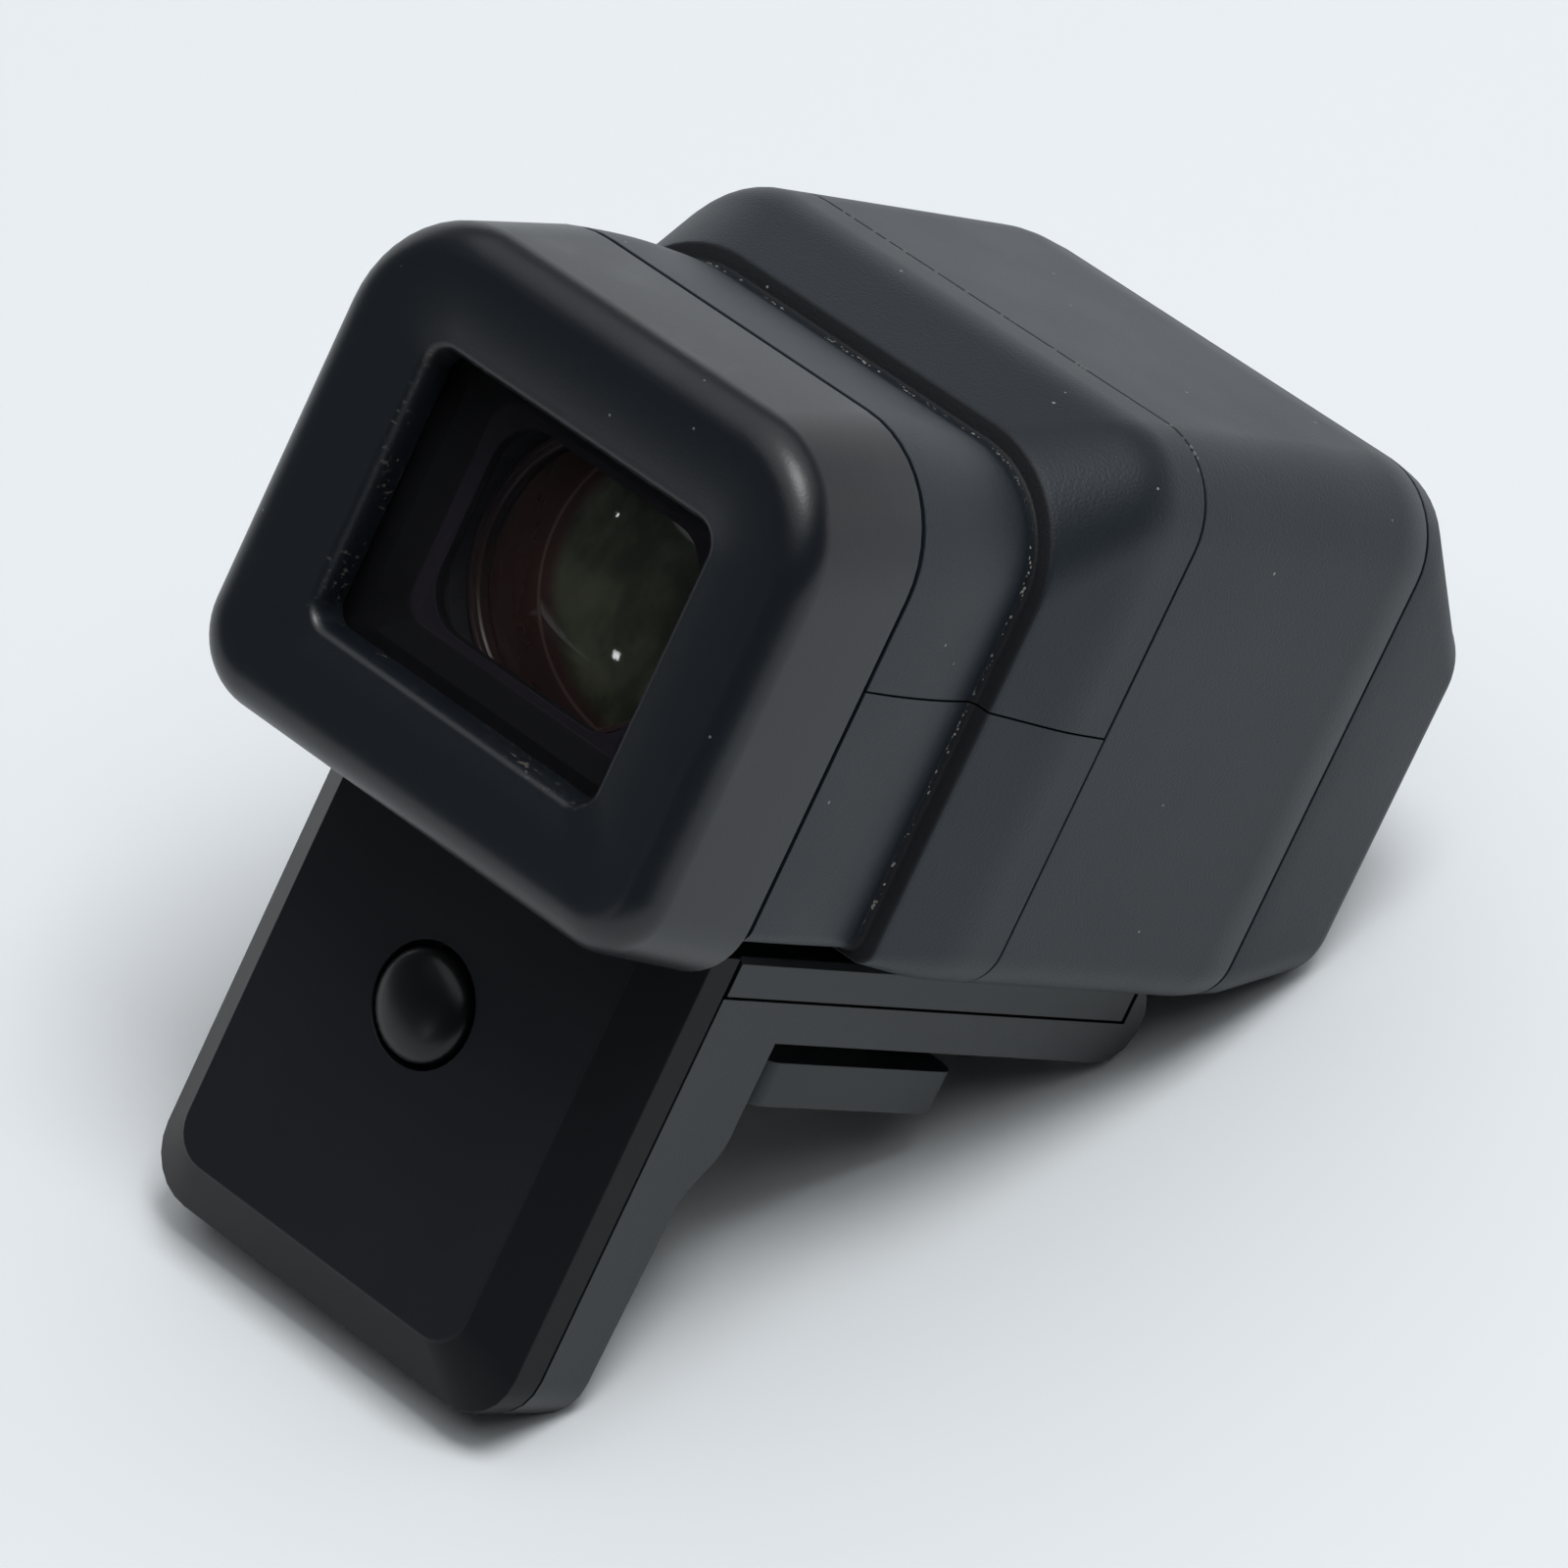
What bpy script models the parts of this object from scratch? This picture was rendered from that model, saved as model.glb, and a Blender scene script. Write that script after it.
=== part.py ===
"""Clip-on electronic viewfinder: a tilting eyepiece head on a shoe foot with a plug-in leg.

Frame: +X to the user's right while looking through the eyepiece, +Y towards the scene, +Z up.
The origin is the centre of the shoe foot's underside.  All lengths are in metres.
"""
import math

import bmesh
import bpy
from mathutils import Matrix, Vector

MM = 0.001

# Clearances
SEAM = 0.12 * MM
SEAT = 0.3 * MM
RUN = 0.1 * MM
OVERRUN = 2.0 * MM
MERGE = 0.001 * MM

# Shoe foot, a plate on a narrower stem that enters the base
FOOT_WIDTH = 18.6 * MM
FOOT_LENGTH = 13.0 * MM
FOOT_THICK = 2.0 * MM
FOOT_CORNER = 1.0 * MM
RAIL_WIDTH = 3.1 * MM
STEM_SETBACK = 0.8 * MM
STEM_ENTRY = 0.7 * MM
RAIL_GAP = 1.35 * MM
SCREW_SHANK = 0.7 * MM
SCREW_HEAD = 1.3 * MM
SCREW_HEAD_DEPTH = 0.7 * MM
SCREW_SLOT = 0.35 * MM
SLOT_REACH_SHARE = 0.7
FOOT_SCREW_INSET = 1.9 * MM
FOOT_SCREW_LENGTH = 6.2 * MM

# Base: a bar with a top plate, and the leg that hangs behind the camera
BASE_WIDTH = 20.6 * MM
BAR_THICK = 1.8 * MM
PLATE_THICK = 1.7 * MM
PLATE_END_GAP = 0.25 * MM
PLATE_EDGE = 0.25 * MM
LEG_SEAM_Y = -12.8 * MM
LEG_BOTTOM_Z = -14.65 * MM
LEG_CORNER = 2.5 * MM
LEG_FRONT_Y = -8.1 * MM
LEG_STEP_HIGH_Z = -1.0 * MM
LEG_STEP_LOW_Z = -4.4 * MM
LEG_THIN_Y = -9.5 * MM
LEG_TAPER = 0.3 * MM
LEG_TOE = 1.4 * MM
PANEL_Y = -16.4 * MM
PANEL_HALF_WIDTH = 8.2 * MM
PANEL_BOTTOM_Z = -12.2 * MM
PANEL_CORNER = 1.6 * MM
CHAMFER_Y = -14.5 * MM

# Leg inside: one board that carries the switch and the plug
BOARD_THICK = 0.8 * MM
BOARD_HALF_WIDTH = 8.6 * MM
BOARD_LOW_Z = -12.3 * MM
BOARD_HIGH_Z = 3.0 * MM
LEDGE = 1.1 * MM
LEG_ROOM_DEPTH = 2.1 * MM
FRONT_ROOM_HALF_WIDTH = 7.4 * MM
FRONT_ROOM_HIGH_Z = 5.6 * MM
LEG_ROOM_HIGH_Z = -0.2 * MM
LEG_SCREW_X = 5.9 * MM
LEG_SCREW_Z = 1.9 * MM
LEG_SCREW_LENGTH = 6.4 * MM
BOSS_WALL = 1.1 * MM

# Push button in the panel
BUTTON_Z = -1.05 * MM
BUTTON_RADIUS = 2.35 * MM
BUTTON_GAP = 0.25 * MM
BUTTON_CROWN = 0.75 * MM
BUTTON_FLANGE = 0.6 * MM
BUTTON_FLANGE_THICK = 0.5 * MM
BUTTON_TRAVEL = 0.4 * MM
BUTTON_STEM_RADIUS = 0.9 * MM
PANEL_WALL = 1.1 * MM
DOME_WALL = 0.5 * MM

# Accessory plug on the leg's camera side
PLUG_WIDTH = 11.4 * MM
PLUG_HEIGHT = 3.6 * MM
PLUG_CORNER = 0.7 * MM
PLUG_WALL = 0.4 * MM
PLUG_REACH = 4.6 * MM
PLUG_Z = -8.8 * MM
TONGUE_HEIGHT = 1.2 * MM
TONGUE_INSET = 0.7 * MM
PLUG_CORE_DEPTH = 2.2 * MM

# Tilt hinge across the front end of the base
HINGE_Y = 14.1 * MM
LUG_RADIUS = 1.85 * MM
SHAFT_RADIUS = 0.75 * MM
KNUCKLE_RADIUS = 1.7 * MM
KNUCKLE_HALF_WIDTH = 6.5 * MM
KNUCKLE_NOTCH = 2.15 * MM
WASHER_THICK = 0.5 * MM
WASHER_RADIUS = 1.5 * MM
WASHER_GAP = 0.2 * MM
SHAFT_END_COVER = 1.2 * MM
NECK_BACK = 1.8 * MM
NECK_FRONT = 0.9 * MM
BRACKET_OVERHANG = 2.1 * MM
BRACKET_BACK_Y = 5.6 * MM
BRACKET_THICK = 1.2 * MM
BRACKET_SCREW_INSET = 1.8 * MM
BRACKET_SCREW_LENGTH = 2.0 * MM

# Head outlines: the eyepiece axis, then half widths and heights along Y
AXIS_Z = 17.65 * MM
HEAD_HALF_WIDTH = 13.4 * MM
HEAD_TOP_Z = 31.3 * MM
HEAD_CORNER = 3.8 * MM
HEAD_EDGE = 2.2 * MM
HEAD_WALL = 1.3 * MM
NECK_Y = -16.4 * MM
STEP_Y = -8.1 * MM
MAIN_Y = -0.86 * MM
CAP_Y = 15.7 * MM
FRONT_Y = 23.9 * MM
NECK_INSET = 0.8 * MM
NECK_DROP = 2.1 * MM
WAIST_INSET = 0.8 * MM
WAIST_DROP = 0.7 * MM
BARREL_ROOM = 0.65 * MM
NECK_CORNER = 5.4 * MM
NECK_EDGE = 0.8 * MM
STEP_RISE = 0.8 * MM
STEP_ROLL = 0.25 * MM
STEP_LIP = 0.4 * MM
GROOVE_WIDTH = 0.7 * MM
GROOVE_DEPTH = 0.5 * MM
GROOVE_UNDERCUT = 0.4 * MM
COVE_STEPS = 5
SHOULDER_LENGTH = 4.0 * MM
SPLIT_NECK_Z = 19.8 * MM
SPLIT_MAIN_Z = 19.15 * MM
FRONT_ROLL = 0.3 * MM
FRONT_ROLL_LENGTH = 2.5 * MM
FRONT_ROLL_SHARES = (0.0, 0.4, 0.7, 1.0)
CAP_SHELL = 1.4 * MM
LIP_REACH = 1.0 * MM
LIP_INSET = 0.5 * MM

# Front cap: a faceted nose, blunt in front
NOSE_TAPER = 1.3 * MM
NOSE_DROP = 6.6 * MM
NOSE_LIFT = 0.8 * MM
NOSE_CORNER = 2.4 * MM
NOSE_ROUND = 1.2 * MM
CAP_START_SHARE = 0.06
CAP_END_SHARE = 0.92

# Rubber eyecup with a dished frame
CUP_REAR_Y = -16.6 * MM
CUP_OVERHANG = 0.05 * MM
CUP_FLARE = 0.1 * MM
CUP_APRON = 2.5 * MM
CUP_LOW_RISE = 0.7 * MM
CUP_TOP_DROP = 0.6 * MM
CUP_CORNER = 5.4 * MM
CUP_LOW_CORNER = 3.2 * MM
CUP_CREST_Y = -23.8 * MM
CUP_CREST_INSET = 1.5 * MM
CUP_OPENING_Y = -22.4 * MM
OPENING_HALF_WIDTH = 7.76 * MM
OPENING_HALF_HEIGHT = 5.95 * MM
OPENING_CORNER = 0.9 * MM
CUP_LIP = 0.6 * MM
BEAD_WIDTH = 0.35 * MM
BEAD_RISE = 0.18 * MM
FACE_FLAT_SHARE = 0.25
FACE_STEPS = 6

# Eyepiece frame and window
WINDOW_THICK = 0.8 * MM
WINDOW_OVERLAP = 0.9 * MM
HOOD_HALF_WIDTH = 10.0 * MM
HOOD_HALF_HEIGHT = 7.5 * MM
HOOD_CORNER = 2.0 * MM
FLANGE_THICK = 1.5 * MM
FUNNEL_MARGIN = 0.15 * MM
FUNNEL_DEPTH = 0.8 * MM
FACE_HALF_WIDTH = 6.45 * MM
FACE_HALF_HEIGHT = 4.8 * MM
FACE_CORNER = 1.2 * MM
MASK_HALF_WIDTH = 5.7 * MM
MASK_HALF_HEIGHT = 4.45 * MM
MASK_CORNER = 2.0 * MM
MASK_THICK = 1.4 * MM

# Lens barrel, sliding carrier and lenses
BARREL_RADIUS = 7.0 * MM
BARREL_WALL = 0.6 * MM
BARREL_LENGTH = 15.4 * MM
CARRIER_WALL = 0.6 * MM
CARRIER_LENGTH = 8.4 * MM
CARRIER_STANDOFF = 1.3 * MM
LENS_EDGE = 1.2 * MM
EYE_LENS_BULGE = 1.2 * MM
INNER_LENS_BULGE = 0.6 * MM
LENS_SPACING = 1.3 * MM

# Dioptre dial on the left of the neck, with an eccentric pin in the carrier
DIAL_Y = -12.3 * MM
DIAL_LIFT = 0.5 * MM
DIAL_RADIUS = 3.1 * MM
DIAL_PROUD = 0.6 * MM
DIAL_FACE_INSET = 0.4 * MM
DIAL_KNURLS = 24
DIAL_KNURL_DEPTH = 0.12 * MM
DIAL_GRIP = 0.3 * MM
HUB_RADIUS = 3.7 * MM
HUB_THICK = 0.6 * MM
PIN_RADIUS = 0.5 * MM
PIN_ECCENTRIC = 1.2 * MM
PIN_BITE = 0.2 * MM
PIN_SWING = 1.05 * MM
PIN_DROP = 0.6 * MM

# Display and boards
HOLDER_WALL = 0.8 * MM
HOLDER_THICK = 2.6 * MM
HOLDER_SOCKET = 1.2 * MM
PANEL_VIEW_HALF_WIDTH = 4.6 * MM
PANEL_VIEW_HALF_HEIGHT = 3.5 * MM
DISPLAY_MARGIN = 1.0 * MM
DISPLAY_THICK = 1.0 * MM
DISPLAY_BOARD_THICK = 0.8 * MM
MAIN_BOARD_Y = 8.0 * MM
MAIN_BOARD_LOW_Z = 10.7 * MM
CHIP_HALF = 3.2 * MM
CHIP_THICK = 0.9 * MM
FLEX_THICK = 0.2 * MM
FLEX_HALF_WIDTH = 3.0 * MM
FLEX_FOOT = 1.6 * MM
FLEX_LIFT = 2.65 * MM
FLEX_SAG = 1.0 * MM

# Levels and planes that follow from the sizes above
BAR_LOW_Z = FOOT_THICK + RAIL_GAP
BAR_TOP_Z = BAR_LOW_Z + BAR_THICK
PLATE_LOW_Z = BAR_TOP_Z + SEAM
PLATE_TOP_Z = PLATE_LOW_Z + PLATE_THICK
HEAD_LOW_Z = PLATE_TOP_Z + SEAT
HINGE_Z = (BAR_LOW_Z + PLATE_TOP_Z) / 2
STEM_WIDTH = FOOT_WIDTH - 2 * RAIL_WIDTH
STEM_LENGTH = FOOT_LENGTH - 2 * STEM_SETBACK
FOOT_SCREW_X = STEM_WIDTH / 2 - FOOT_SCREW_INSET
FOOT_SCREW_Y = STEM_LENGTH / 2 - FOOT_SCREW_INSET
LUG_INNER_X = KNUCKLE_HALF_WIDTH + WASHER_THICK + 2 * WASHER_GAP
SHAFT_HALF_LENGTH = BASE_WIDTH / 2 - SHAFT_END_COVER
BRACKET_HALF_WIDTH = KNUCKLE_HALF_WIDTH + BRACKET_OVERHANG
BRACKET_SCREW_X = BRACKET_HALF_WIDTH - BRACKET_SCREW_INSET
NECK_HALF_WIDTH = HEAD_HALF_WIDTH - NECK_INSET
NECK_WAIST = NECK_HALF_WIDTH - WAIST_INSET
NECK_TOP_Z = HEAD_TOP_Z - NECK_DROP
NECK_WAIST_TOP_Z = NECK_TOP_Z - WAIST_DROP
NECK_LOW_Z = AXIS_Z - BARREL_RADIUS - BARREL_ROOM - HEAD_WALL
WAIST_CORNER = NECK_CORNER - WAIST_INSET
NOSE_HALF_WIDTH = HEAD_HALF_WIDTH - NOSE_TAPER
NOSE_TOP_Z = HEAD_TOP_Z - NOSE_DROP
NOSE_LOW_Z = HEAD_LOW_Z + NOSE_LIFT
CUP_HALF_WIDTH = NECK_HALF_WIDTH + CUP_OVERHANG
CUP_TOP_Z = NECK_TOP_Z
CUP_LOW_Z = NECK_LOW_Z - CUP_APRON
DIAL_FACE_X = NECK_HALF_WIDTH - DIAL_FACE_INSET
DIAL_Z = NECK_LOW_Z + HEAD_WALL + HUB_RADIUS + DIAL_LIFT
BASE_HALF = BASE_WIDTH / 2
LEG_BACK_Y = LEG_SEAM_Y + SEAM / 2
LEG_PANEL_BACK_Y = LEG_SEAM_Y - SEAM / 2
BOARD_Y = LEG_PANEL_BACK_Y + SEAT
BOARD_FAR_Y = BOARD_Y + BOARD_THICK
LEDGE_Y = BOARD_FAR_Y + SEAT
FLOOR_TOP_Z = HEAD_LOW_Z + HEAD_WALL
BRACKET_LOW_Z = FLOOR_TOP_Z + SEAT
WINDOW_Y = CUP_OPENING_Y + CUP_LIP + SEAM
WINDOW_BACK_Y = WINDOW_Y + WINDOW_THICK
MASK_Y = WINDOW_BACK_Y + SEAT
BARREL_Y = MASK_Y + MASK_THICK + SEAT
BARREL_END_Y = BARREL_Y + BARREL_LENGTH
BARREL_BORE = BARREL_RADIUS - BARREL_WALL
CARRIER_Y = BARREL_Y + CARRIER_STANDOFF
CARRIER_RADIUS = BARREL_BORE - RUN
CARRIER_BORE = CARRIER_RADIUS - CARRIER_WALL
LENS_RADIUS = CARRIER_BORE - RUN
PIN_TIP_X = CARRIER_BORE - PIN_BITE
HOLDER_HALF = BARREL_RADIUS + RUN + HOLDER_WALL
HOLDER_Y = BARREL_END_Y - HOLDER_SOCKET
HOLDER_BACK_Y = HOLDER_Y + HOLDER_THICK
FLEX_LOW_Z = AXIS_Z - HOLDER_HALF + FLEX_LIFT

ROUND_STEPS = 6
LENS_STEPS = 4
CYLINDER_STEPS = 32
SMALL_STEPS = 16
SMOOTH_ANGLE = math.radians(35)


def material(name, colour, roughness, metallic=0.0):
    """A plain Principled finish."""
    made = bpy.data.materials.new(name)
    made.use_nodes = True
    shader = made.node_tree.nodes["Principled BSDF"]
    shader.inputs["Base Color"].default_value = (*colour, 1.0)
    shader.inputs["Roughness"].default_value = roughness
    shader.inputs["Metallic"].default_value = metallic
    return made


def arc(centre, radius, start_degrees, end_degrees, steps=ROUND_STEPS):
    """Points along a round stretch of an outline."""
    points = []
    for step in range(steps + 1):
        angle = math.radians(start_degrees + (end_degrees - start_degrees) * step / steps)
        points.append((centre[0] + radius * math.cos(angle), centre[1] + radius * math.sin(angle)))
    return points


def rounded(half_width, low, high, low_radius, high_radius, steps=ROUND_STEPS):
    """Points (across, up) round a rectangle whose low and high corners have their own radii."""
    points = []
    corners = (
        (half_width - high_radius, high - high_radius, high_radius),
        (high_radius - half_width, high - high_radius, high_radius),
        (low_radius - half_width, low + low_radius, low_radius),
        (half_width - low_radius, low + low_radius, low_radius),
    )
    for quarter, (across, up, radius) in enumerate(corners):
        points += arc((across, up), radius, quarter * 90, (quarter + 1) * 90, steps)
    return points


def ring(y, half_width, low, high, low_radius, high_radius):
    """The same outline standing across the Y axis."""
    return [Vector((x, y, z)) for x, z in rounded(half_width, low, high, low_radius, high_radius)]


def centred_ring(y, half_width, half_height, radius):
    """An outline centred on the eyepiece axis."""
    return ring(y, half_width, AXIS_Z - half_height, AXIS_Z + half_height, radius, radius)


def between(first, second, share):
    """A ring part of the way from one to another."""
    return [a.lerp(b, share) for a, b in zip(first, second)]


def finish(name, bm, finish_material, pivot=(0.0, 0.0, 0.0), flat_above=SMOOTH_ANGLE):
    """Turns a bmesh into a named object whose origin is the given pivot."""
    bmesh.ops.recalc_face_normals(bm, faces=bm.faces)
    if bm.calc_volume(signed=True) < 0:
        bmesh.ops.reverse_faces(bm, faces=bm.faces)
    bmesh.ops.translate(bm, verts=bm.verts, vec=-Vector(pivot))
    mesh = bpy.data.meshes.new(name)
    bm.to_mesh(mesh)
    bm.free()
    mesh.shade_smooth()
    mesh.set_sharp_from_angle(angle=flat_above)
    made = bpy.data.objects.new(name, mesh)
    made.location = pivot
    bpy.context.scene.collection.objects.link(made)
    if finish_material:
        mesh.materials.append(finish_material)
    return made


def loft(rings, tube=False):
    """A skin grown ring by ring, capped at both ends or closed on itself."""
    bm = bmesh.new()
    verts = [bm.verts.new(point) for point in rings[0]]
    edges = [bm.edges.new(pair) for pair in zip(verts, verts[1:] + verts[:1])]
    if not tube:
        bm.faces.new(verts)
    for points in rings[1:] + (rings[:1] if tube else []):
        grown = bmesh.ops.extrude_edge_only(bm, edges=edges)["geom"]
        fresh = {item for item in grown if isinstance(item, bmesh.types.BMVert)}
        verts = [next(edge.other_vert(vert) for edge in vert.link_edges if edge.other_vert(vert) in fresh)
                 for vert in verts]
        for vert, point in zip(verts, points):
            vert.co = point
        edges = [bm.edges.get(pair) for pair in zip(verts, verts[1:] + verts[:1])]
    if tube:
        bmesh.ops.remove_doubles(bm, verts=bm.verts, dist=MERGE)
    else:
        bm.faces.new(verts)
    return bm


def prism(outline, axis, start, end):
    """A flat outline extruded along one axis; the outline gives the other two in order."""
    def place(first, second, along):
        spots = {"x": (along, first, second), "y": (first, along, second), "z": (first, second, along)}
        return Vector(spots[axis])
    return loft([[place(a, b, level) for a, b in outline] for level in (start, end)])


def block(low, high):
    """A box between two opposite corners."""
    outline = [(low[0], low[1]), (high[0], low[1]), (high[0], high[1]), (low[0], high[1])]
    return prism(outline, "z", low[2], high[2])


def turned(profile, axis, centre, steps=CYLINDER_STEPS):
    """A profile of (along, radius) points turned about an axis through a centre."""
    along = Vector({"x": (1, 0, 0), "y": (0, 1, 0), "z": (0, 0, 1)}[axis])
    out = Vector({"x": (0, 0, 1), "y": (0, 0, 1), "z": (1, 0, 0)}[axis])
    bm = bmesh.new()
    middle = Vector(centre)
    verts = [bm.verts.new(middle + along * a + out * r) for a, r in profile]
    closed = profile[0][1] > 0
    edges = [bm.edges.new(pair) for pair in zip(verts, verts[1:] + (verts[:1] if closed else []))]
    bmesh.ops.spin(bm, geom=verts + edges, cent=middle, axis=along, angle=math.tau, steps=steps,
                   use_merge=True)
    bmesh.ops.remove_doubles(bm, verts=bm.verts, dist=MERGE)
    return bm


def rod(axis, centre, start, end, radius, steps=CYLINDER_STEPS):
    """A plain cylinder between two stations of an axis."""
    return turned([(start, 0.0), (start, radius), (end, radius), (end, 0.0)], axis, centre, steps)


def hide(cutter):
    """Marks a shape as a guide that only cuts or joins."""
    cutter.hide_render = True
    cutter.display_type = "WIRE"
    return cutter


def change(target, operation, bm, name):
    """Cuts, joins or crops a target by a hidden shape."""
    tool = hide(finish(name, bm, None))
    modifier = target.modifiers.new(name, "BOOLEAN")
    modifier.operation = operation
    modifier.object = tool
    modifier.solver = "EXACT"
    return tool


def cut(target, bm, name):
    return change(target, "DIFFERENCE", bm, name)


def join(target, bm, name):
    return change(target, "UNION", bm, name)


def crop(target, bm, name):
    return change(target, "INTERSECT", bm, name)


def parent_at(name, location, children):
    """An empty on a joint's axis that carries the pieces which move together."""
    empty = bpy.data.objects.new(name, None)
    empty.location = location
    bpy.context.scene.collection.objects.link(empty)
    bpy.context.view_layer.update()
    for child in children:
        child.parent = empty
        child.matrix_parent_inverse = empty.matrix_world.inverted()
    return empty


def screw(name, axis, centre, head_end, shank_end, steel):
    """A pan screw from its head's outer face to its tip, with a cross slot in the head."""
    way = 1 if shank_end > head_end else -1
    under = head_end + way * SCREW_HEAD_DEPTH
    profile = [(head_end, 0.0), (head_end, SCREW_HEAD), (under, SCREW_HEAD), (under, SCREW_SHANK),
               (shank_end, SCREW_SHANK), (shank_end, 0.0)]
    made = finish(name, turned(profile, axis, centre, SMALL_STEPS), steel)
    slot_half = SCREW_SLOT / 2
    reach = SCREW_HEAD * SLOT_REACH_SHARE
    floor = head_end + way * SCREW_HEAD_DEPTH / 2
    outside = head_end - way * SEAT
    for turn, across in enumerate(((reach, slot_half), (slot_half, reach))):
        order = {"x": (2, 0, 1), "y": (0, 2, 1), "z": (0, 1, 2)}[axis]
        low = [-across[0], -across[1], min(floor, outside)]
        high = [across[0], across[1], max(floor, outside)]
        low = [low[index] + place for index, place in zip(order, centre)]
        high = [high[index] + place for index, place in zip(order, centre)]
        cut(made, block(low, high), f"{name}_slot_{turn}")
    return made


def screw_well(target, axis, centre, head_end, shank_end, name, head_over=OVERRUN):
    """The counterbore and the hole that a screw sits in."""
    way = 1 if shank_end > head_end else -1
    under = head_end + way * (SCREW_HEAD_DEPTH + SEAT)
    outside = head_end - way * head_over
    profile = [(outside, 0.0), (outside, SCREW_HEAD + SEAM), (under, SCREW_HEAD + SEAM),
               (under, SCREW_SHANK + RUN), (shank_end + way * SEAT, SCREW_SHANK + RUN),
               (shank_end + way * SEAT, 0.0)]
    cut(target, turned(profile, axis, centre, SMALL_STEPS), name)


def foot_screw_places():
    return [(x, y) for x in (-FOOT_SCREW_X, FOOT_SCREW_X) for y in (-FOOT_SCREW_Y, FOOT_SCREW_Y)]


def leg_outline(half_width, bottom, top, corner):
    """The leg seen from behind: square at the top, rounded below."""
    inner, low = half_width - corner, bottom + corner
    return [(half_width, top), (-half_width, top), *arc((-inner, low), corner, 180, 270),
            *arc((inner, low), corner, 270, 360)]


def base_side_outline():
    """The base shell from the side: bar, round front end and the leg with its S-shaped step."""
    points = [(LEG_BACK_Y, BAR_TOP_Z), (HINGE_Y + SEAM, BAR_TOP_Z)]
    lug_gap = PLATE_END_GAP * 2
    start = math.degrees(math.acos((SEAM + lug_gap) / LUG_RADIUS))
    points.append((HINGE_Y + SEAM + lug_gap, BAR_TOP_Z))
    points += arc((HINGE_Y, HINGE_Z), LUG_RADIUS, start, -90)
    points.append((LEG_FRONT_Y, BAR_LOW_Z))
    depth = LEG_FRONT_Y - LEG_THIN_Y
    fall = LEG_STEP_HIGH_Z - LEG_STEP_LOW_Z
    for step in range(ROUND_STEPS * 2 + 1):
        share = step / (ROUND_STEPS * 2)
        ease = (1 - math.cos(math.pi * share)) / 2
        points.append((LEG_FRONT_Y - depth * ease, LEG_STEP_HIGH_Z - fall * share))
    toe = (LEG_THIN_Y - LEG_TAPER - LEG_TOE, LEG_BOTTOM_Z + LEG_TOE)
    points += arc(toe, LEG_TOE, 0, -90)
    points.append((LEG_BACK_Y, LEG_BOTTOM_Z))
    return points


def make_base_shell(plastic):
    """Bar and leg back in one moulding, hollow behind the seam, with two lugs at the front."""
    reach = BASE_HALF + OVERRUN
    made = finish("base_shell", prism(base_side_outline(), "x", -reach, reach), plastic)
    crop(made, prism(leg_outline(BASE_HALF, LEG_BOTTOM_Z, PLATE_TOP_Z, LEG_CORNER), "y",
                     LEG_BACK_Y - OVERRUN, HINGE_Y + LUG_RADIUS + OVERRUN), "leg_back_outline")
    cut(made, block((-BOARD_HALF_WIDTH - SEAT, LEG_BACK_Y - OVERRUN, BOARD_LOW_Z - SEAT),
                    (BOARD_HALF_WIDTH + SEAT, LEDGE_Y, BOARD_HIGH_Z + SEAT)), "board_recess")
    cut(made, block((LEDGE - BOARD_HALF_WIDTH, LEDGE_Y - OVERRUN, BOARD_LOW_Z + LEDGE),
                    (BOARD_HALF_WIDTH - LEDGE, LEG_BACK_Y + LEG_ROOM_DEPTH, LEG_ROOM_HIGH_Z)), "leg_room")
    cut(made, block((-LUG_INNER_X, HINGE_Y - KNUCKLE_NOTCH, BAR_LOW_Z - OVERRUN),
                    (LUG_INNER_X, HINGE_Y + LUG_RADIUS + OVERRUN, PLATE_TOP_Z + OVERRUN)), "knuckle_notch")
    cut(made, rod("x", (0, HINGE_Y, HINGE_Z), -SHAFT_HALF_LENGTH - SEAM, SHAFT_HALF_LENGTH + SEAM,
                  SHAFT_RADIUS + RUN, SMALL_STEPS), "shaft_bore")
    cut(made, block((-STEM_WIDTH / 2 - SEAM, -STEM_LENGTH / 2 - SEAM, BAR_LOW_Z - OVERRUN),
                    (STEM_WIDTH / 2 + SEAM, STEM_LENGTH / 2 + SEAM, BAR_LOW_Z + STEM_ENTRY)), "stem_pocket")
    for index, (x, y) in enumerate(foot_screw_places()):
        cut(made, rod("z", (x, y, 0), BAR_LOW_Z, BAR_TOP_Z + OVERRUN, SCREW_SHANK + RUN, SMALL_STEPS),
            f"bar_hole_{index}")
    half_height = PLUG_HEIGHT / 2 + SEAT
    outline = rounded(PLUG_WIDTH / 2 + SEAT, PLUG_Z - half_height, PLUG_Z + half_height,
                      PLUG_CORNER + SEAT, PLUG_CORNER + SEAT)
    cut(made, prism(outline, "y", BOARD_FAR_Y, LEG_FRONT_Y + OVERRUN), "plug_hole")
    for index, x in enumerate((-LEG_SCREW_X, LEG_SCREW_X)):
        screw_well(made, "y", (x, 0, LEG_SCREW_Z), LEG_FRONT_Y - SEAM, LEG_FRONT_Y - LEG_SCREW_LENGTH,
                   f"leg_well_{index}")
    return made


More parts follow.
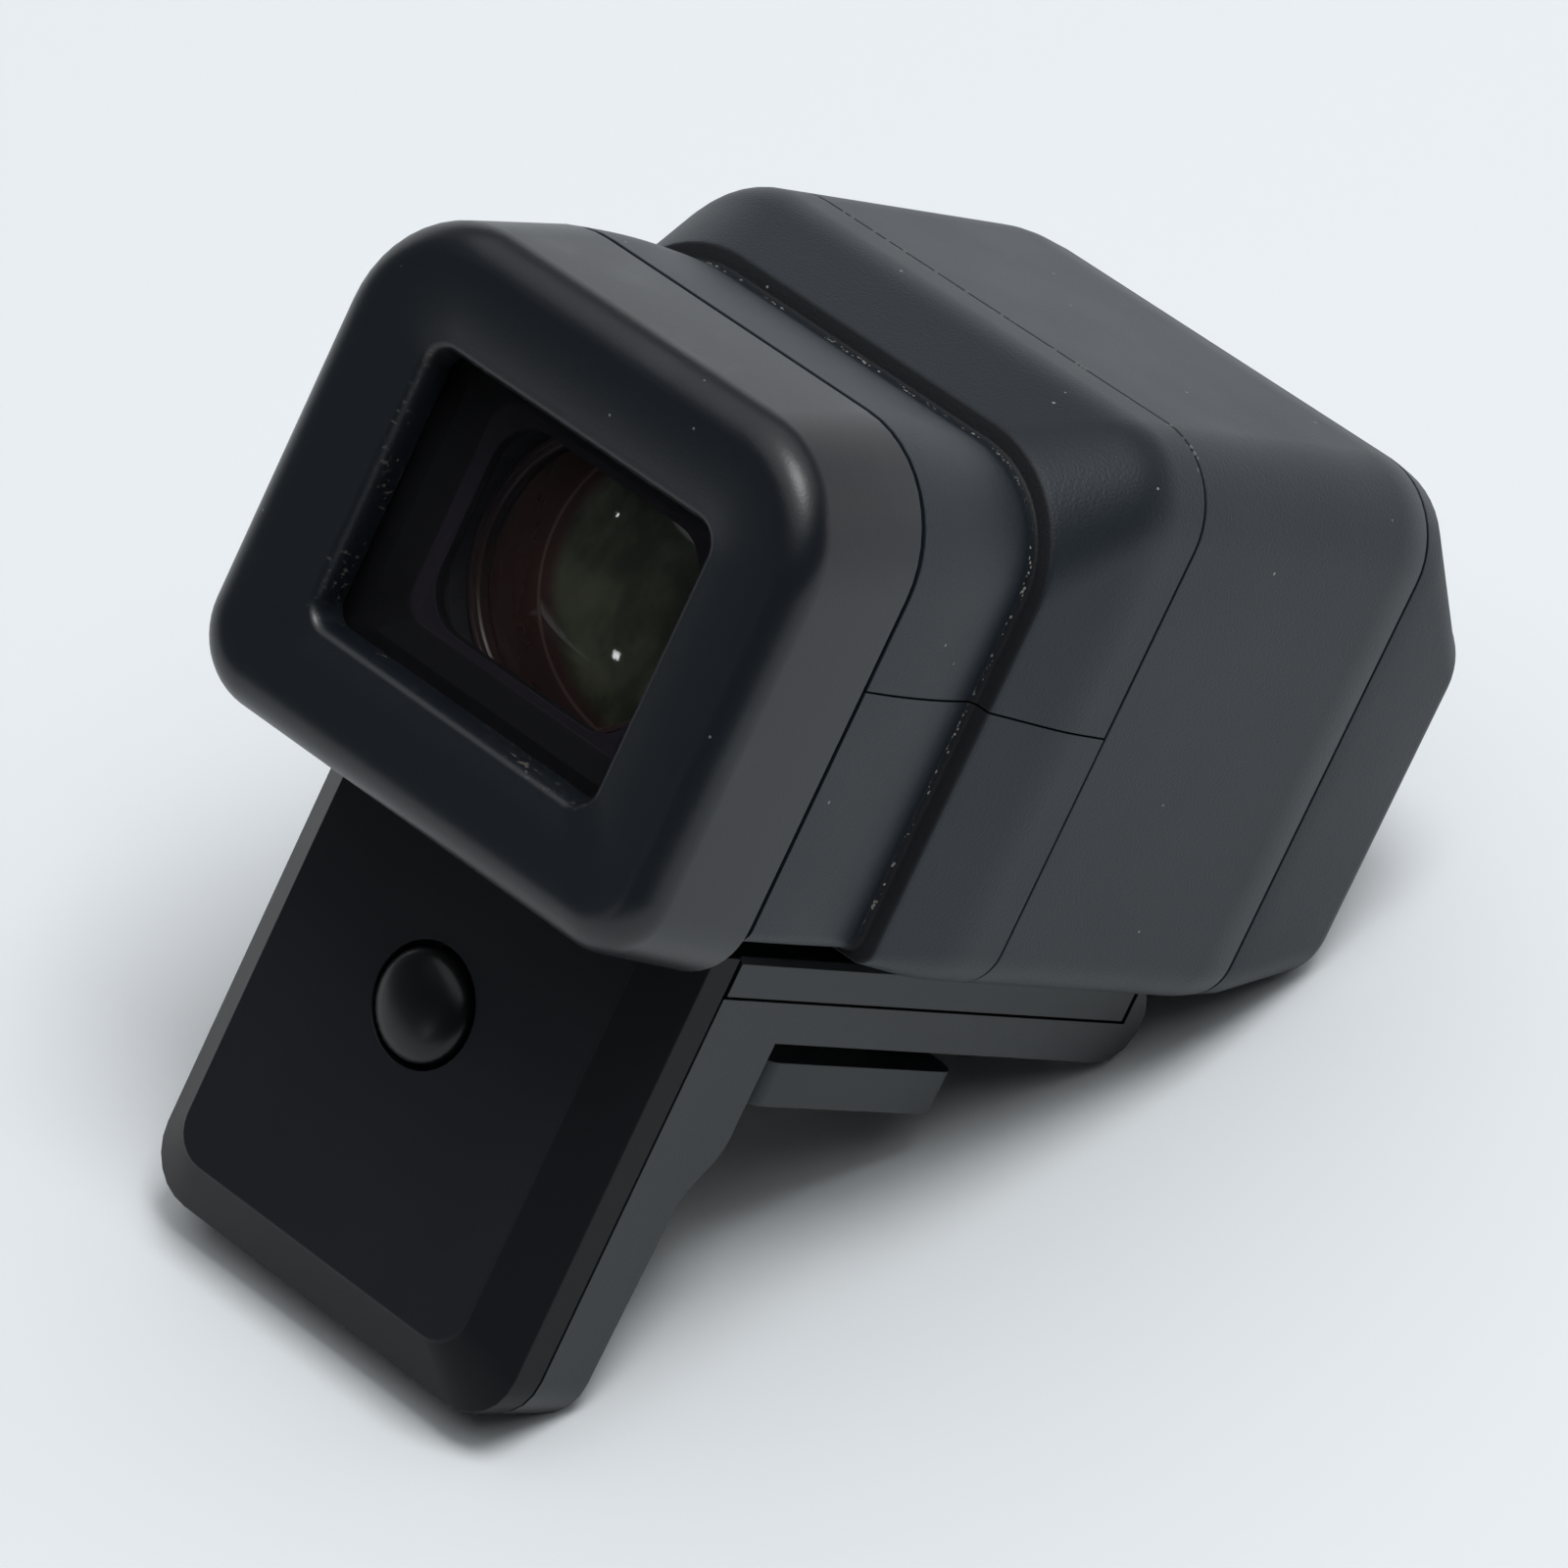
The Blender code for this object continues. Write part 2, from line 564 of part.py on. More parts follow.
def make_base_plate(metal):
    """Flat cover of the bar, notched round the knuckle."""
    start = LEG_PANEL_BACK_Y + PLATE_END_GAP
    end = HINGE_Y + SEAM + PLATE_END_GAP
    inner = BASE_HALF - PLATE_EDGE
    rings = []
    for half, z in ((BASE_HALF, PLATE_LOW_Z), (BASE_HALF, PLATE_TOP_Z - PLATE_EDGE), (inner, PLATE_TOP_Z)):
        outline = [(half, start), (half, end), (-half, end), (-half, start)]
        rings.append([Vector((x, y, z)) for x, y in outline])
    made = finish("base_plate", loft(rings), metal)
    cut(made, block((-LUG_INNER_X, HINGE_Y - KNUCKLE_NOTCH, PLATE_LOW_Z - OVERRUN),
                    (LUG_INNER_X, HINGE_Y + OVERRUN, PLATE_TOP_Z + OVERRUN)), "plate_notch")
    cut(made, rod("x", (0, HINGE_Y, HINGE_Z), -SHAFT_HALF_LENGTH - SEAM, SHAFT_HALF_LENGTH + SEAM,
                  SHAFT_RADIUS + RUN, SMALL_STEPS), "plate_saddle")
    for index, (x, y) in enumerate(foot_screw_places()):
        cut(made, rod("z", (x, y, 0), PLATE_LOW_Z - OVERRUN, FOOT_SCREW_LENGTH + SEAT, SCREW_SHANK + RUN,
                      SMALL_STEPS), f"plate_hole_{index}")
    return made


def make_leg_front(plastic):
    """Rear-facing tray of the leg: a raised panel inside broad chamfers, open to the seam."""
    top = PLATE_TOP_Z
    outer = leg_outline(BASE_HALF, LEG_BOTTOM_Z, top, LEG_CORNER)
    panel = leg_outline(PANEL_HALF_WIDTH, PANEL_BOTTOM_Z, top, PANEL_CORNER)
    stations = ((LEG_PANEL_BACK_Y, outer), (CHAMFER_Y, outer), (PANEL_Y, panel))
    made = finish("leg_front", loft([[Vector((x, y, z)) for x, z in points] for y, points in stations]),
                  plastic)
    room_y = PANEL_Y + PANEL_WALL
    cut(made, block((-FRONT_ROOM_HALF_WIDTH, room_y, BOARD_LOW_Z + LEDGE),
                    (FRONT_ROOM_HALF_WIDTH, LEG_PANEL_BACK_Y + OVERRUN, FRONT_ROOM_HIGH_Z)), "panel_room")
    cut(made, rod("y", (0, PANEL_Y, BUTTON_Z), -OVERRUN, PANEL_WALL + OVERRUN, BUTTON_RADIUS + BUTTON_GAP),
        "button_hole")
    boss_radius = SCREW_SHANK + BOSS_WALL
    for index, x in enumerate((-LEG_SCREW_X, LEG_SCREW_X)):
        centre = (x, 0, LEG_SCREW_Z)
        join(made, rod("y", centre, room_y - PANEL_WALL / 2, LEG_PANEL_BACK_Y - SEAM, boss_radius,
                       SMALL_STEPS), f"boss_{index}")
        cut(made, rod("y", centre, LEG_FRONT_Y - LEG_SCREW_LENGTH - SEAT, LEG_PANEL_BACK_Y + OVERRUN,
                      SCREW_SHANK + RUN, SMALL_STEPS), f"boss_hole_{index}")
    return made


def make_leg_board(board):
    """Upright circuit board that closes the leg's room."""
    outline = rounded(BOARD_HALF_WIDTH, BOARD_LOW_Z, BOARD_HIGH_Z, LEDGE, LEDGE)
    made = finish("leg_board", prism(outline, "y", BOARD_Y, BOARD_FAR_Y), board)
    for index, x in enumerate((-LEG_SCREW_X, LEG_SCREW_X)):
        cut(made, rod("y", (x, 0, LEG_SCREW_Z), BOARD_Y - OVERRUN, BOARD_FAR_Y + OVERRUN,
                      SCREW_SHANK + SEAT, SMALL_STEPS), f"board_hole_{index}")
    return made


def make_button(plastic, rubber):
    """Domed cap with a flange behind the panel, on a rubber dome that stands on the board."""
    panel_back = PANEL_Y + PANEL_WALL
    flange_y = panel_back + SEAT
    flange_end = flange_y + BUTTON_FLANGE_THICK
    stem_end = BOARD_Y - BUTTON_TRAVEL - RUN
    crown = []
    for step in range(ROUND_STEPS + 1):
        share = step / ROUND_STEPS
        rise = BUTTON_CROWN * math.cos(0.5 * math.pi * share)
        crown.append((PANEL_Y - rise, BUTTON_RADIUS * math.sin(0.5 * math.pi * share)))
    flange_radius = BUTTON_RADIUS + BUTTON_GAP + BUTTON_FLANGE
    profile = crown + [(flange_y, BUTTON_RADIUS), (flange_y, flange_radius), (flange_end, flange_radius),
                       (flange_end, BUTTON_STEM_RADIUS), (stem_end, BUTTON_STEM_RADIUS), (stem_end, 0.0)]
    pivot = (0.0, PANEL_Y, BUTTON_Z)
    finish("push_button", turned(profile, "y", (0, 0, BUTTON_Z)), plastic, pivot)
    near = flange_end + RUN
    far = BOARD_Y - RUN
    small = BUTTON_STEM_RADIUS + SEAT
    dome_profile = [(near, small), (near, small + DOME_WALL),
                    (far, flange_radius), (far, flange_radius - DOME_WALL)]
    finish("button_dome", turned(dome_profile, "y", (0, 0, BUTTON_Z)), rubber)


def make_plug(steel, plastic):
    """Metal sleeve of the accessory plug and the moulded core with its contact tongue."""
    start = BOARD_FAR_Y + RUN
    end = LEG_THIN_Y + PLUG_REACH
    low, high = PLUG_Z - PLUG_HEIGHT / 2, PLUG_Z + PLUG_HEIGHT / 2
    wall = PLUG_WALL
    outer = rounded(PLUG_WIDTH / 2, low, high, PLUG_CORNER, PLUG_CORNER)
    inner = rounded(PLUG_WIDTH / 2 - wall, low + wall, high - wall, PLUG_CORNER - wall, PLUG_CORNER - wall)
    rings = []
    for y, points in ((start, outer), (end, outer), (end, inner), (start, inner)):
        rings.append([Vector((x, y, z)) for x, z in points])
    finish("plug_sleeve", loft(rings, tube=True), steel)
    gap = wall + RUN
    corner = PLUG_CORNER - wall
    core_outline = rounded(PLUG_WIDTH / 2 - gap, low + gap, high - gap, corner, corner)
    core = finish("plug_core", prism(core_outline, "y", start, start + PLUG_CORE_DEPTH), plastic)
    tongue = block((TONGUE_INSET + gap - PLUG_WIDTH / 2, start + RUN, PLUG_Z - TONGUE_HEIGHT / 2),
                   (PLUG_WIDTH / 2 - TONGUE_INSET - gap, end - PLUG_CORNER, PLUG_Z + TONGUE_HEIGHT / 2))
    join(core, tongue, "tongue")


def make_foot(metal, steel):
    """Shoe foot with its stem, and the four screws that draw it up to the base."""
    outline = rounded(FOOT_WIDTH / 2, -FOOT_LENGTH / 2, FOOT_LENGTH / 2, FOOT_CORNER, FOOT_CORNER)
    foot = finish("shoe_foot", prism(outline, "z", 0.0, FOOT_THICK), metal)
    stem_top = BAR_LOW_Z + STEM_ENTRY - SEAT
    join(foot, block((-STEM_WIDTH / 2, -STEM_LENGTH / 2, FOOT_THICK / 2),
                     (STEM_WIDTH / 2, STEM_LENGTH / 2, stem_top)), "stem")
    for index, (x, y) in enumerate(foot_screw_places()):
        screw_well(foot, "z", (x, y, 0), RUN, FOOT_SCREW_LENGTH, f"foot_well_{index}")
        screw(f"foot_screw_{index + 1}", "z", (x, y, 0), RUN, FOOT_SCREW_LENGTH, steel)


def make_hinge(steel, metal):
    """Fixed shaft with a friction washer at each lug, and the head's knuckle bracket."""
    axis_point = (0.0, HINGE_Y, HINGE_Z)
    finish("hinge_shaft", rod("x", axis_point, -SHAFT_HALF_LENGTH, SHAFT_HALF_LENGTH, SHAFT_RADIUS,
                              SMALL_STEPS), steel)
    middle = (KNUCKLE_HALF_WIDTH + LUG_INNER_X) / 2
    bore = SHAFT_RADIUS + RUN
    for side, sign in (("left", -1), ("right", 1)):
        low, high = sign * middle - WASHER_THICK / 2, sign * middle + WASHER_THICK / 2
        profile = [(low, bore), (low, WASHER_RADIUS), (high, WASHER_RADIUS), (high, bore)]
        finish(f"hinge_washer_{side}", turned(profile, "x", axis_point, SMALL_STEPS), steel)
    bracket_end = HINGE_Y + NECK_FRONT
    top = BRACKET_LOW_Z + BRACKET_THICK
    bracket = finish("hinge_bracket", block((-BRACKET_HALF_WIDTH, BRACKET_BACK_Y, BRACKET_LOW_Z),
                                            (BRACKET_HALF_WIDTH, bracket_end, top)), metal, axis_point)
    join(bracket, block((-KNUCKLE_HALF_WIDTH, HINGE_Y - NECK_BACK, HINGE_Z),
                        (KNUCKLE_HALF_WIDTH, bracket_end, top - BRACKET_THICK / 2)), "knuckle_stem")
    join(bracket, rod("x", axis_point, -KNUCKLE_HALF_WIDTH, KNUCKLE_HALF_WIDTH, KNUCKLE_RADIUS), "knuckle")
    cut(bracket, rod("x", axis_point, -KNUCKLE_HALF_WIDTH - OVERRUN, KNUCKLE_HALF_WIDTH + OVERRUN, bore,
                     SMALL_STEPS), "knuckle_bore")
    screws = []
    for index, (x, y) in enumerate(bracket_screw_places()):
        head_end = top + SCREW_HEAD_DEPTH / 2
        tip = head_end - BRACKET_SCREW_LENGTH
        screw_well(bracket, "z", (x, y, 0), head_end, tip, f"bracket_well_{index}")
        screws.append(screw(f"bracket_screw_{index + 1}", "z", (x, y, 0), head_end, tip, steel))
    return bracket, screws


def bracket_screw_places():
    ys = (BRACKET_BACK_Y + BRACKET_SCREW_INSET, HINGE_Y - NECK_BACK - BRACKET_SCREW_INSET)
    return [(x, y) for x in (-BRACKET_SCREW_X, BRACKET_SCREW_X) for y in ys]


def head_ring(y, inset=0.0, roll=0.0):
    """The head's main outline, drawn in all round by an inset and less its roll above and beside."""
    shrink = FRONT_ROLL * roll ** 2
    return ring(y, HEAD_HALF_WIDTH - shrink - inset, HEAD_LOW_Z + inset, HEAD_TOP_Z - shrink - inset,
                HEAD_EDGE - inset, HEAD_CORNER - inset)


def rear_housing_rings():
    """Coved neck, undercut groove and swelling shoulder outside, then a plainer wall inside."""
    end = MAIN_Y - SEAM / 2
    groove_y = STEP_Y - GROOVE_WIDTH
    rings = []
    for step in range(COVE_STEPS + 1):
        share = step / COVE_STEPS
        drawn = share ** 2
        along = NECK_Y + (groove_y - NECK_Y) * share
        pinch = WAIST_INSET * drawn
        rings.append(ring(along, NECK_HALF_WIDTH - pinch, NECK_LOW_Z, NECK_TOP_Z - WAIST_DROP * drawn,
                          NECK_EDGE, NECK_CORNER - pinch))
    rings += [waist_ring(y, GROOVE_DEPTH) for y in (groove_y, STEP_Y + GROOVE_UNDERCUT)]
    lip = STEP_RISE - STEP_LIP
    rings += [shoulder_ring(y, 0.0, STEP_RISE - lip) for y in (STEP_Y + GROOVE_UNDERCUT, STEP_Y)]
    rings.append(shoulder_ring(STEP_Y, 0.0, STEP_ROLL))
    for step in range(ROUND_STEPS + 1):
        angle = 0.5 * math.pi * step / ROUND_STEPS
        along = STEP_Y + STEP_ROLL + SHOULDER_LENGTH * (1 - math.cos(angle))
        rings.append(shoulder_ring(along, math.sin(angle)))
    wall = HEAD_WALL
    rebate = end - LIP_REACH - SEAM
    rings += [head_ring(end), head_ring(end, LIP_INSET)]
    rings += [head_ring(rebate, LIP_INSET), head_ring(rebate, wall)]
    rings += [waist_ring(y, wall) for y in (STEP_Y + wall, NECK_Y)]
    return rings


def waist_ring(y, inset):
    """The neck's narrowest outline, drawn in all round."""
    return ring(y, NECK_WAIST - inset, NECK_LOW_Z + inset, NECK_WAIST_TOP_Z - inset,
                NECK_EDGE, WAIST_CORNER - inset)


def shoulder_ring(y, swell, inset=0.0):
    """An outline between the step above the waist and the head's full size."""
    rise = STEP_RISE - inset
    low_step = ring(y, NECK_WAIST + rise, HEAD_LOW_Z + inset, NECK_WAIST_TOP_Z + rise,
                    NECK_EDGE, WAIST_CORNER + STEP_RISE)
    return between(low_step, head_ring(y), swell)


def make_rear_housing(plastic):
    """Upper and lower halves that meet on a gently falling seam, the lower one bored for the dial."""
    reach = HEAD_HALF_WIDTH + OVERRUN
    fall = (SPLIT_MAIN_Z - SPLIT_NECK_Z) / (MAIN_Y - NECK_Y)
    start, end = NECK_Y - OVERRUN, MAIN_Y + OVERRUN
    seam = [(y, SPLIT_NECK_Z + fall * (y - NECK_Y)) for y in (start, end)]
    halves = []
    sides = (("upper", SEAM / 2, HEAD_LOW_Z - OVERRUN), ("lower", -SEAM / 2, HEAD_TOP_Z + OVERRUN))
    for side, shift, far in sides:
        half = finish(f"rear_housing_{side}", loft(rear_housing_rings(), tube=True), plastic)
        outline = [(y, z + shift) for y, z in seam] + [(end, far), (start, far)]
        cut(half, prism(outline, "x", -reach, reach), f"split_{side}")
        halves.append(half)
    upper, lower = halves
    cut(lower, rod("x", (0, DIAL_Y, DIAL_Z), -NECK_HALF_WIDTH - OVERRUN, -NECK_WAIST + HEAD_WALL + SEAT,
                   DIAL_RADIUS + SEAM), "dial_hole")
    return upper, lower


def make_main_housing(plastic):
    """The head's middle tube: a tongue behind, a rebate in front and a notch for the knuckle."""
    start, end = MAIN_Y + SEAM / 2, CAP_Y - SEAM / 2
    wall = HEAD_WALL
    rebate = end - LIP_REACH - SEAM
    tip = start - SEAM - LIP_REACH
    rings = [head_ring(start)]
    rings += [head_ring(end - FRONT_ROLL_LENGTH * (1 - share), 0.0, share) for share in FRONT_ROLL_SHARES]
    rings += [head_ring(end, LIP_INSET, 1.0), head_ring(rebate, LIP_INSET, 1.0), head_ring(rebate, wall)]
    rings += [head_ring(tip, wall), head_ring(tip, LIP_INSET + SEAM), head_ring(start, LIP_INSET + SEAM)]
    made = finish("main_housing", loft(rings, tube=True), plastic)
    cut(made, block((-KNUCKLE_HALF_WIDTH - SEAT, HINGE_Y - NECK_BACK - SEAT, HEAD_LOW_Z - OVERRUN),
                    (KNUCKLE_HALF_WIDTH + SEAT, CAP_Y + OVERRUN, FLOOR_TOP_Z + SEAM)), "stem_notch")
    for index, (x, y) in enumerate(bracket_screw_places()):
        tip = BRACKET_LOW_Z + BRACKET_THICK + SCREW_HEAD_DEPTH / 2 - BRACKET_SCREW_LENGTH
        cut(made, rod("z", (x, y, 0), tip - SEAT, FLOOR_TOP_Z + OVERRUN, SCREW_SHANK + RUN, SMALL_STEPS),
            f"floor_hole_{index}")
    return made


def make_front_cap(plastic):
    """Blunt nose: sloping top, tapered sides and a hollow behind them."""
    start = CAP_Y + SEAM / 2
    wall = CAP_SHELL
    slope_end = FRONT_Y - NOSE_ROUND
    tip = start - SEAM - LIP_REACH

    def nose_ring(y, share, inset=0.0):
        blunt = ring(y, NOSE_HALF_WIDTH - inset, NOSE_LOW_Z + inset, NOSE_TOP_Z - inset,
                     NOSE_CORNER, NOSE_CORNER)
        return between(head_ring(y, inset, 1.0), blunt, share)

    stations = ((start, 0.0), (start + NOSE_ROUND, CAP_START_SHARE), (slope_end, CAP_END_SHARE))
    rings = [nose_ring(y, share) for y, share in stations]
    made = finish("front_cap", loft(rings + [nose_ring(FRONT_Y, 1.0, NOSE_ROUND)]), plastic)
    tongue = [head_ring(y, LIP_INSET + SEAM, 1.0) for y in (tip, start + NOSE_ROUND / 2)]
    join(made, loft(tongue), "tongue_core")
    room = ((tip - OVERRUN, 0.0), (start + NOSE_ROUND, CAP_START_SHARE), (slope_end - wall, CAP_END_SHARE))
    cut(made, loft([nose_ring(y, share, wall) for y, share in room]), "cap_room")
    cut(made, block((-KNUCKLE_HALF_WIDTH - SEAT, tip - OVERRUN, HEAD_LOW_Z),
                    (KNUCKLE_HALF_WIDTH + SEAT, start, FLOOR_TOP_Z + OVERRUN)), "tongue_notch")
    return made


def cup_ring(y, inset=0.0):
    """The eyecup's outer outline at a station: it draws in above and below towards the eye."""
    share = (y - CUP_REAR_Y) / (CUP_CREST_Y - CUP_REAR_Y)
    return ring(y, CUP_HALF_WIDTH + CUP_FLARE * share - inset, CUP_LOW_Z + CUP_LOW_RISE * share + inset,
                CUP_TOP_Z - CUP_TOP_DROP * share - inset, CUP_LOW_CORNER - inset, CUP_CORNER - inset)


def opening_ring(y, grow):
    """The eyecup's opening, let out all round by a little."""
    return centred_ring(y, OPENING_HALF_WIDTH + grow, OPENING_HALF_HEIGHT + grow, OPENING_CORNER + grow)


def make_eyecup(rubber):
    """Soft frame whose face dishes in from a round crest to the window's opening."""
    crest = []
    for step in range(ROUND_STEPS + 1):
        angle = 0.5 * math.pi * step / ROUND_STEPS
        crest.append(cup_ring(CUP_CREST_Y + CUP_CREST_INSET * (1 - math.cos(angle)),
                              CUP_CREST_INSET * (1 - math.sin(angle))))
    bead = [opening_ring(CUP_OPENING_Y - BEAD_RISE, BEAD_WIDTH / 2),
            opening_ring(CUP_OPENING_Y, BEAD_WIDTH)]
    face = []
    for step in range(FACE_STEPS):
        share = step / FACE_STEPS
        travel = FACE_FLAT_SHARE + (1 - FACE_FLAT_SHARE) * share
        points = between(bead[-1], crest[0], travel)
        rise = (1 - math.cos(math.pi * share)) / 2
        face.append([Vector((point.x, CUP_OPENING_Y + (CUP_CREST_Y - CUP_OPENING_Y) * rise, point.z))
                     for point in points])
    rings = [opening_ring(CUP_OPENING_Y, 0.0), *bead, *face, *crest]
    rings += [cup_ring(CUP_REAR_Y - SEAM), cup_ring(CUP_REAR_Y, SEAM)]
    pocket = (HOOD_HALF_WIDTH + SEAT, HOOD_HALF_HEIGHT + SEAT, HOOD_CORNER + SEAT)
    rings.append(centred_ring(CUP_REAR_Y, *pocket))
    rings.append(centred_ring(CUP_OPENING_Y + CUP_LIP, *pocket))
    rings.append(opening_ring(CUP_OPENING_Y + CUP_LIP, 0.0))
    return finish("eyecup", loft(rings, tube=True), rubber)


def window_ring(y, room=0.0):
    """The cover glass's outline: the eyecup's opening and an overlap behind its lip."""
    grow = WINDOW_OVERLAP + room
    return centred_ring(y, OPENING_HALF_WIDTH + grow, OPENING_HALF_HEIGHT + grow, OPENING_CORNER)


def make_eyepiece_frame(plastic):
    """Rigid core under the rubber: a seat for the window, a funnel down to a mask, and a flange."""
    hood = [centred_ring(y, HOOD_HALF_WIDTH, HOOD_HALF_HEIGHT, HOOD_CORNER)
            for y in (WINDOW_Y, NECK_Y + SEAT)]
    made = finish("eyepiece_frame", loft(hood), plastic)
    wall = HEAD_WALL + SEAT
    join(made, loft([waist_ring(y, wall) for y in (NECK_Y, NECK_Y + FLANGE_THICK)]), "flange")
    cut(made, loft([window_ring(y, RUN) for y in (WINDOW_Y - OVERRUN, MASK_Y)]), "window_seat")
    mouth = (OPENING_HALF_WIDTH - FUNNEL_MARGIN, OPENING_HALF_HEIGHT - FUNNEL_MARGIN, FACE_CORNER)
    funnel = [centred_ring(MASK_Y - OVERRUN, *mouth), centred_ring(MASK_Y, *mouth),
              centred_ring(MASK_Y + FUNNEL_DEPTH, FACE_HALF_WIDTH, FACE_HALF_HEIGHT, FACE_CORNER)]
    cut(made, loft(funnel), "funnel")
    mask = [centred_ring(y, MASK_HALF_WIDTH, MASK_HALF_HEIGHT, MASK_CORNER)
            for y in (MASK_Y - OVERRUN, MASK_Y + MASK_THICK + OVERRUN)]
    cut(made, loft(mask), "mask_opening")
    cut(made, rod("y", (0, 0, AXIS_Z), MASK_Y + MASK_THICK, NECK_Y + FLANGE_THICK + OVERRUN,
                  BARREL_RADIUS + RUN), "barrel_bore")
    hub_x = -NECK_WAIST + HEAD_WALL + SEAM
    cut(made, rod("x", (0, DIAL_Y, DIAL_Z), -NECK_WAIST, hub_x + HUB_THICK + SEAT, HUB_RADIUS + SEAT),
        "hub_clearance")
    return made


def make_window(glass):
    """Flat cover glass behind the eyecup's lip."""
    return finish("eyepiece_window", loft([window_ring(y) for y in (WINDOW_Y, WINDOW_BACK_Y)]), glass)


def lens(name, rim, bulge, glass):
    """Biconvex lens whose rear rim lies at the given station."""
    back = rim + LENS_EDGE
    profile = []
    for step in range(LENS_STEPS + 1):
        share = step / LENS_STEPS
        profile.append((rim - bulge * (1 - share ** 2), LENS_RADIUS * share))
    for step in range(LENS_STEPS, -1, -1):
        share = step / LENS_STEPS
        profile.append((back + bulge * (1 - share ** 2), LENS_RADIUS * share))
    return finish(name, turned(profile, "y", (0, 0, AXIS_Z)), glass)


def make_optics(black, glass):
    """Fixed barrel and the sliding carrier with its two lenses."""
    axis_point = (0, 0, AXIS_Z)
    barrel = finish("lens_barrel", turned([(BARREL_Y, BARREL_BORE), (BARREL_Y, BARREL_RADIUS),
                                           (BARREL_END_Y, BARREL_RADIUS), (BARREL_END_Y, BARREL_BORE)],
                                          "y", axis_point), black)
    carrier_end = CARRIER_Y + CARRIER_LENGTH
    carrier = finish("lens_carrier", turned([(CARRIER_Y, CARRIER_BORE), (CARRIER_Y, CARRIER_RADIUS),
                                             (carrier_end, CARRIER_RADIUS), (carrier_end, CARRIER_BORE)],
                                            "y", axis_point), black)
    room = PIN_RADIUS + SEAM
    pin_high = DIAL_Z + PIN_ECCENTRIC + room
    pin_low = DIAL_Z + PIN_ECCENTRIC - PIN_DROP - room
    cut(barrel, block((-BARREL_RADIUS - OVERRUN, DIAL_Y - PIN_SWING - room, pin_low),
                      (SEAT - PIN_TIP_X, DIAL_Y + PIN_SWING + room, pin_high)), "barrel_window")
    cut(carrier, block((-BARREL_RADIUS - OVERRUN, DIAL_Y - room, pin_low),
                       (SEAT - PIN_TIP_X, DIAL_Y + room, pin_high)), "carrier_slot")
    eye = lens("eye_lens", CARRIER_Y + RUN, EYE_LENS_BULGE, glass)
    inner_rim = CARRIER_Y + RUN + LENS_EDGE + EYE_LENS_BULGE + LENS_SPACING + INNER_LENS_BULGE
    inner = lens("inner_lens", inner_rim, INNER_LENS_BULGE, glass)
    return barrel, carrier, eye, inner


def make_dial(plastic, steel):
    """Knurled dioptre dial set in the neck's left wall, and its hub with the eccentric pin."""
    pivot = (-DIAL_FACE_X, DIAL_Y, DIAL_Z)
    outer_x = -DIAL_FACE_X - DIAL_PROUD
    inner_x = -NECK_WAIST + HEAD_WALL
    points = []
    for step in range(DIAL_KNURLS * 4):
        angle = math.tau * step / (DIAL_KNURLS * 4)
        radius = DIAL_RADIUS - (DIAL_KNURL_DEPTH if step % 4 in (0, 1) else 0.0)
        points.append((DIAL_Y + radius * math.cos(angle), DIAL_Z + radius * math.sin(angle)))
    shrink = (DIAL_RADIUS - DIAL_GRIP) / DIAL_RADIUS
    bevelled = [(DIAL_Y + (y - DIAL_Y) * shrink, DIAL_Z + (z - DIAL_Z) * shrink) for y, z in points]
    stations = ((outer_x, bevelled), (outer_x + DIAL_GRIP, points), (inner_x, points))
    rings = [[Vector((x, y, z)) for y, z in outline] for x, outline in stations]
    dial = finish("dioptre_dial", loft(rings), plastic, pivot)
    hub_x = inner_x + SEAM
    disc = rod("x", (0, DIAL_Y, DIAL_Z), hub_x, hub_x + HUB_THICK, HUB_RADIUS)
    hub = finish("dial_hub", disc, steel, pivot)
    join(hub, rod("x", (0, DIAL_Y, DIAL_Z + PIN_ECCENTRIC), hub_x + HUB_THICK / 2, -PIN_TIP_X, PIN_RADIUS,
                  SMALL_STEPS), "eccentric_pin")
    return dial, hub


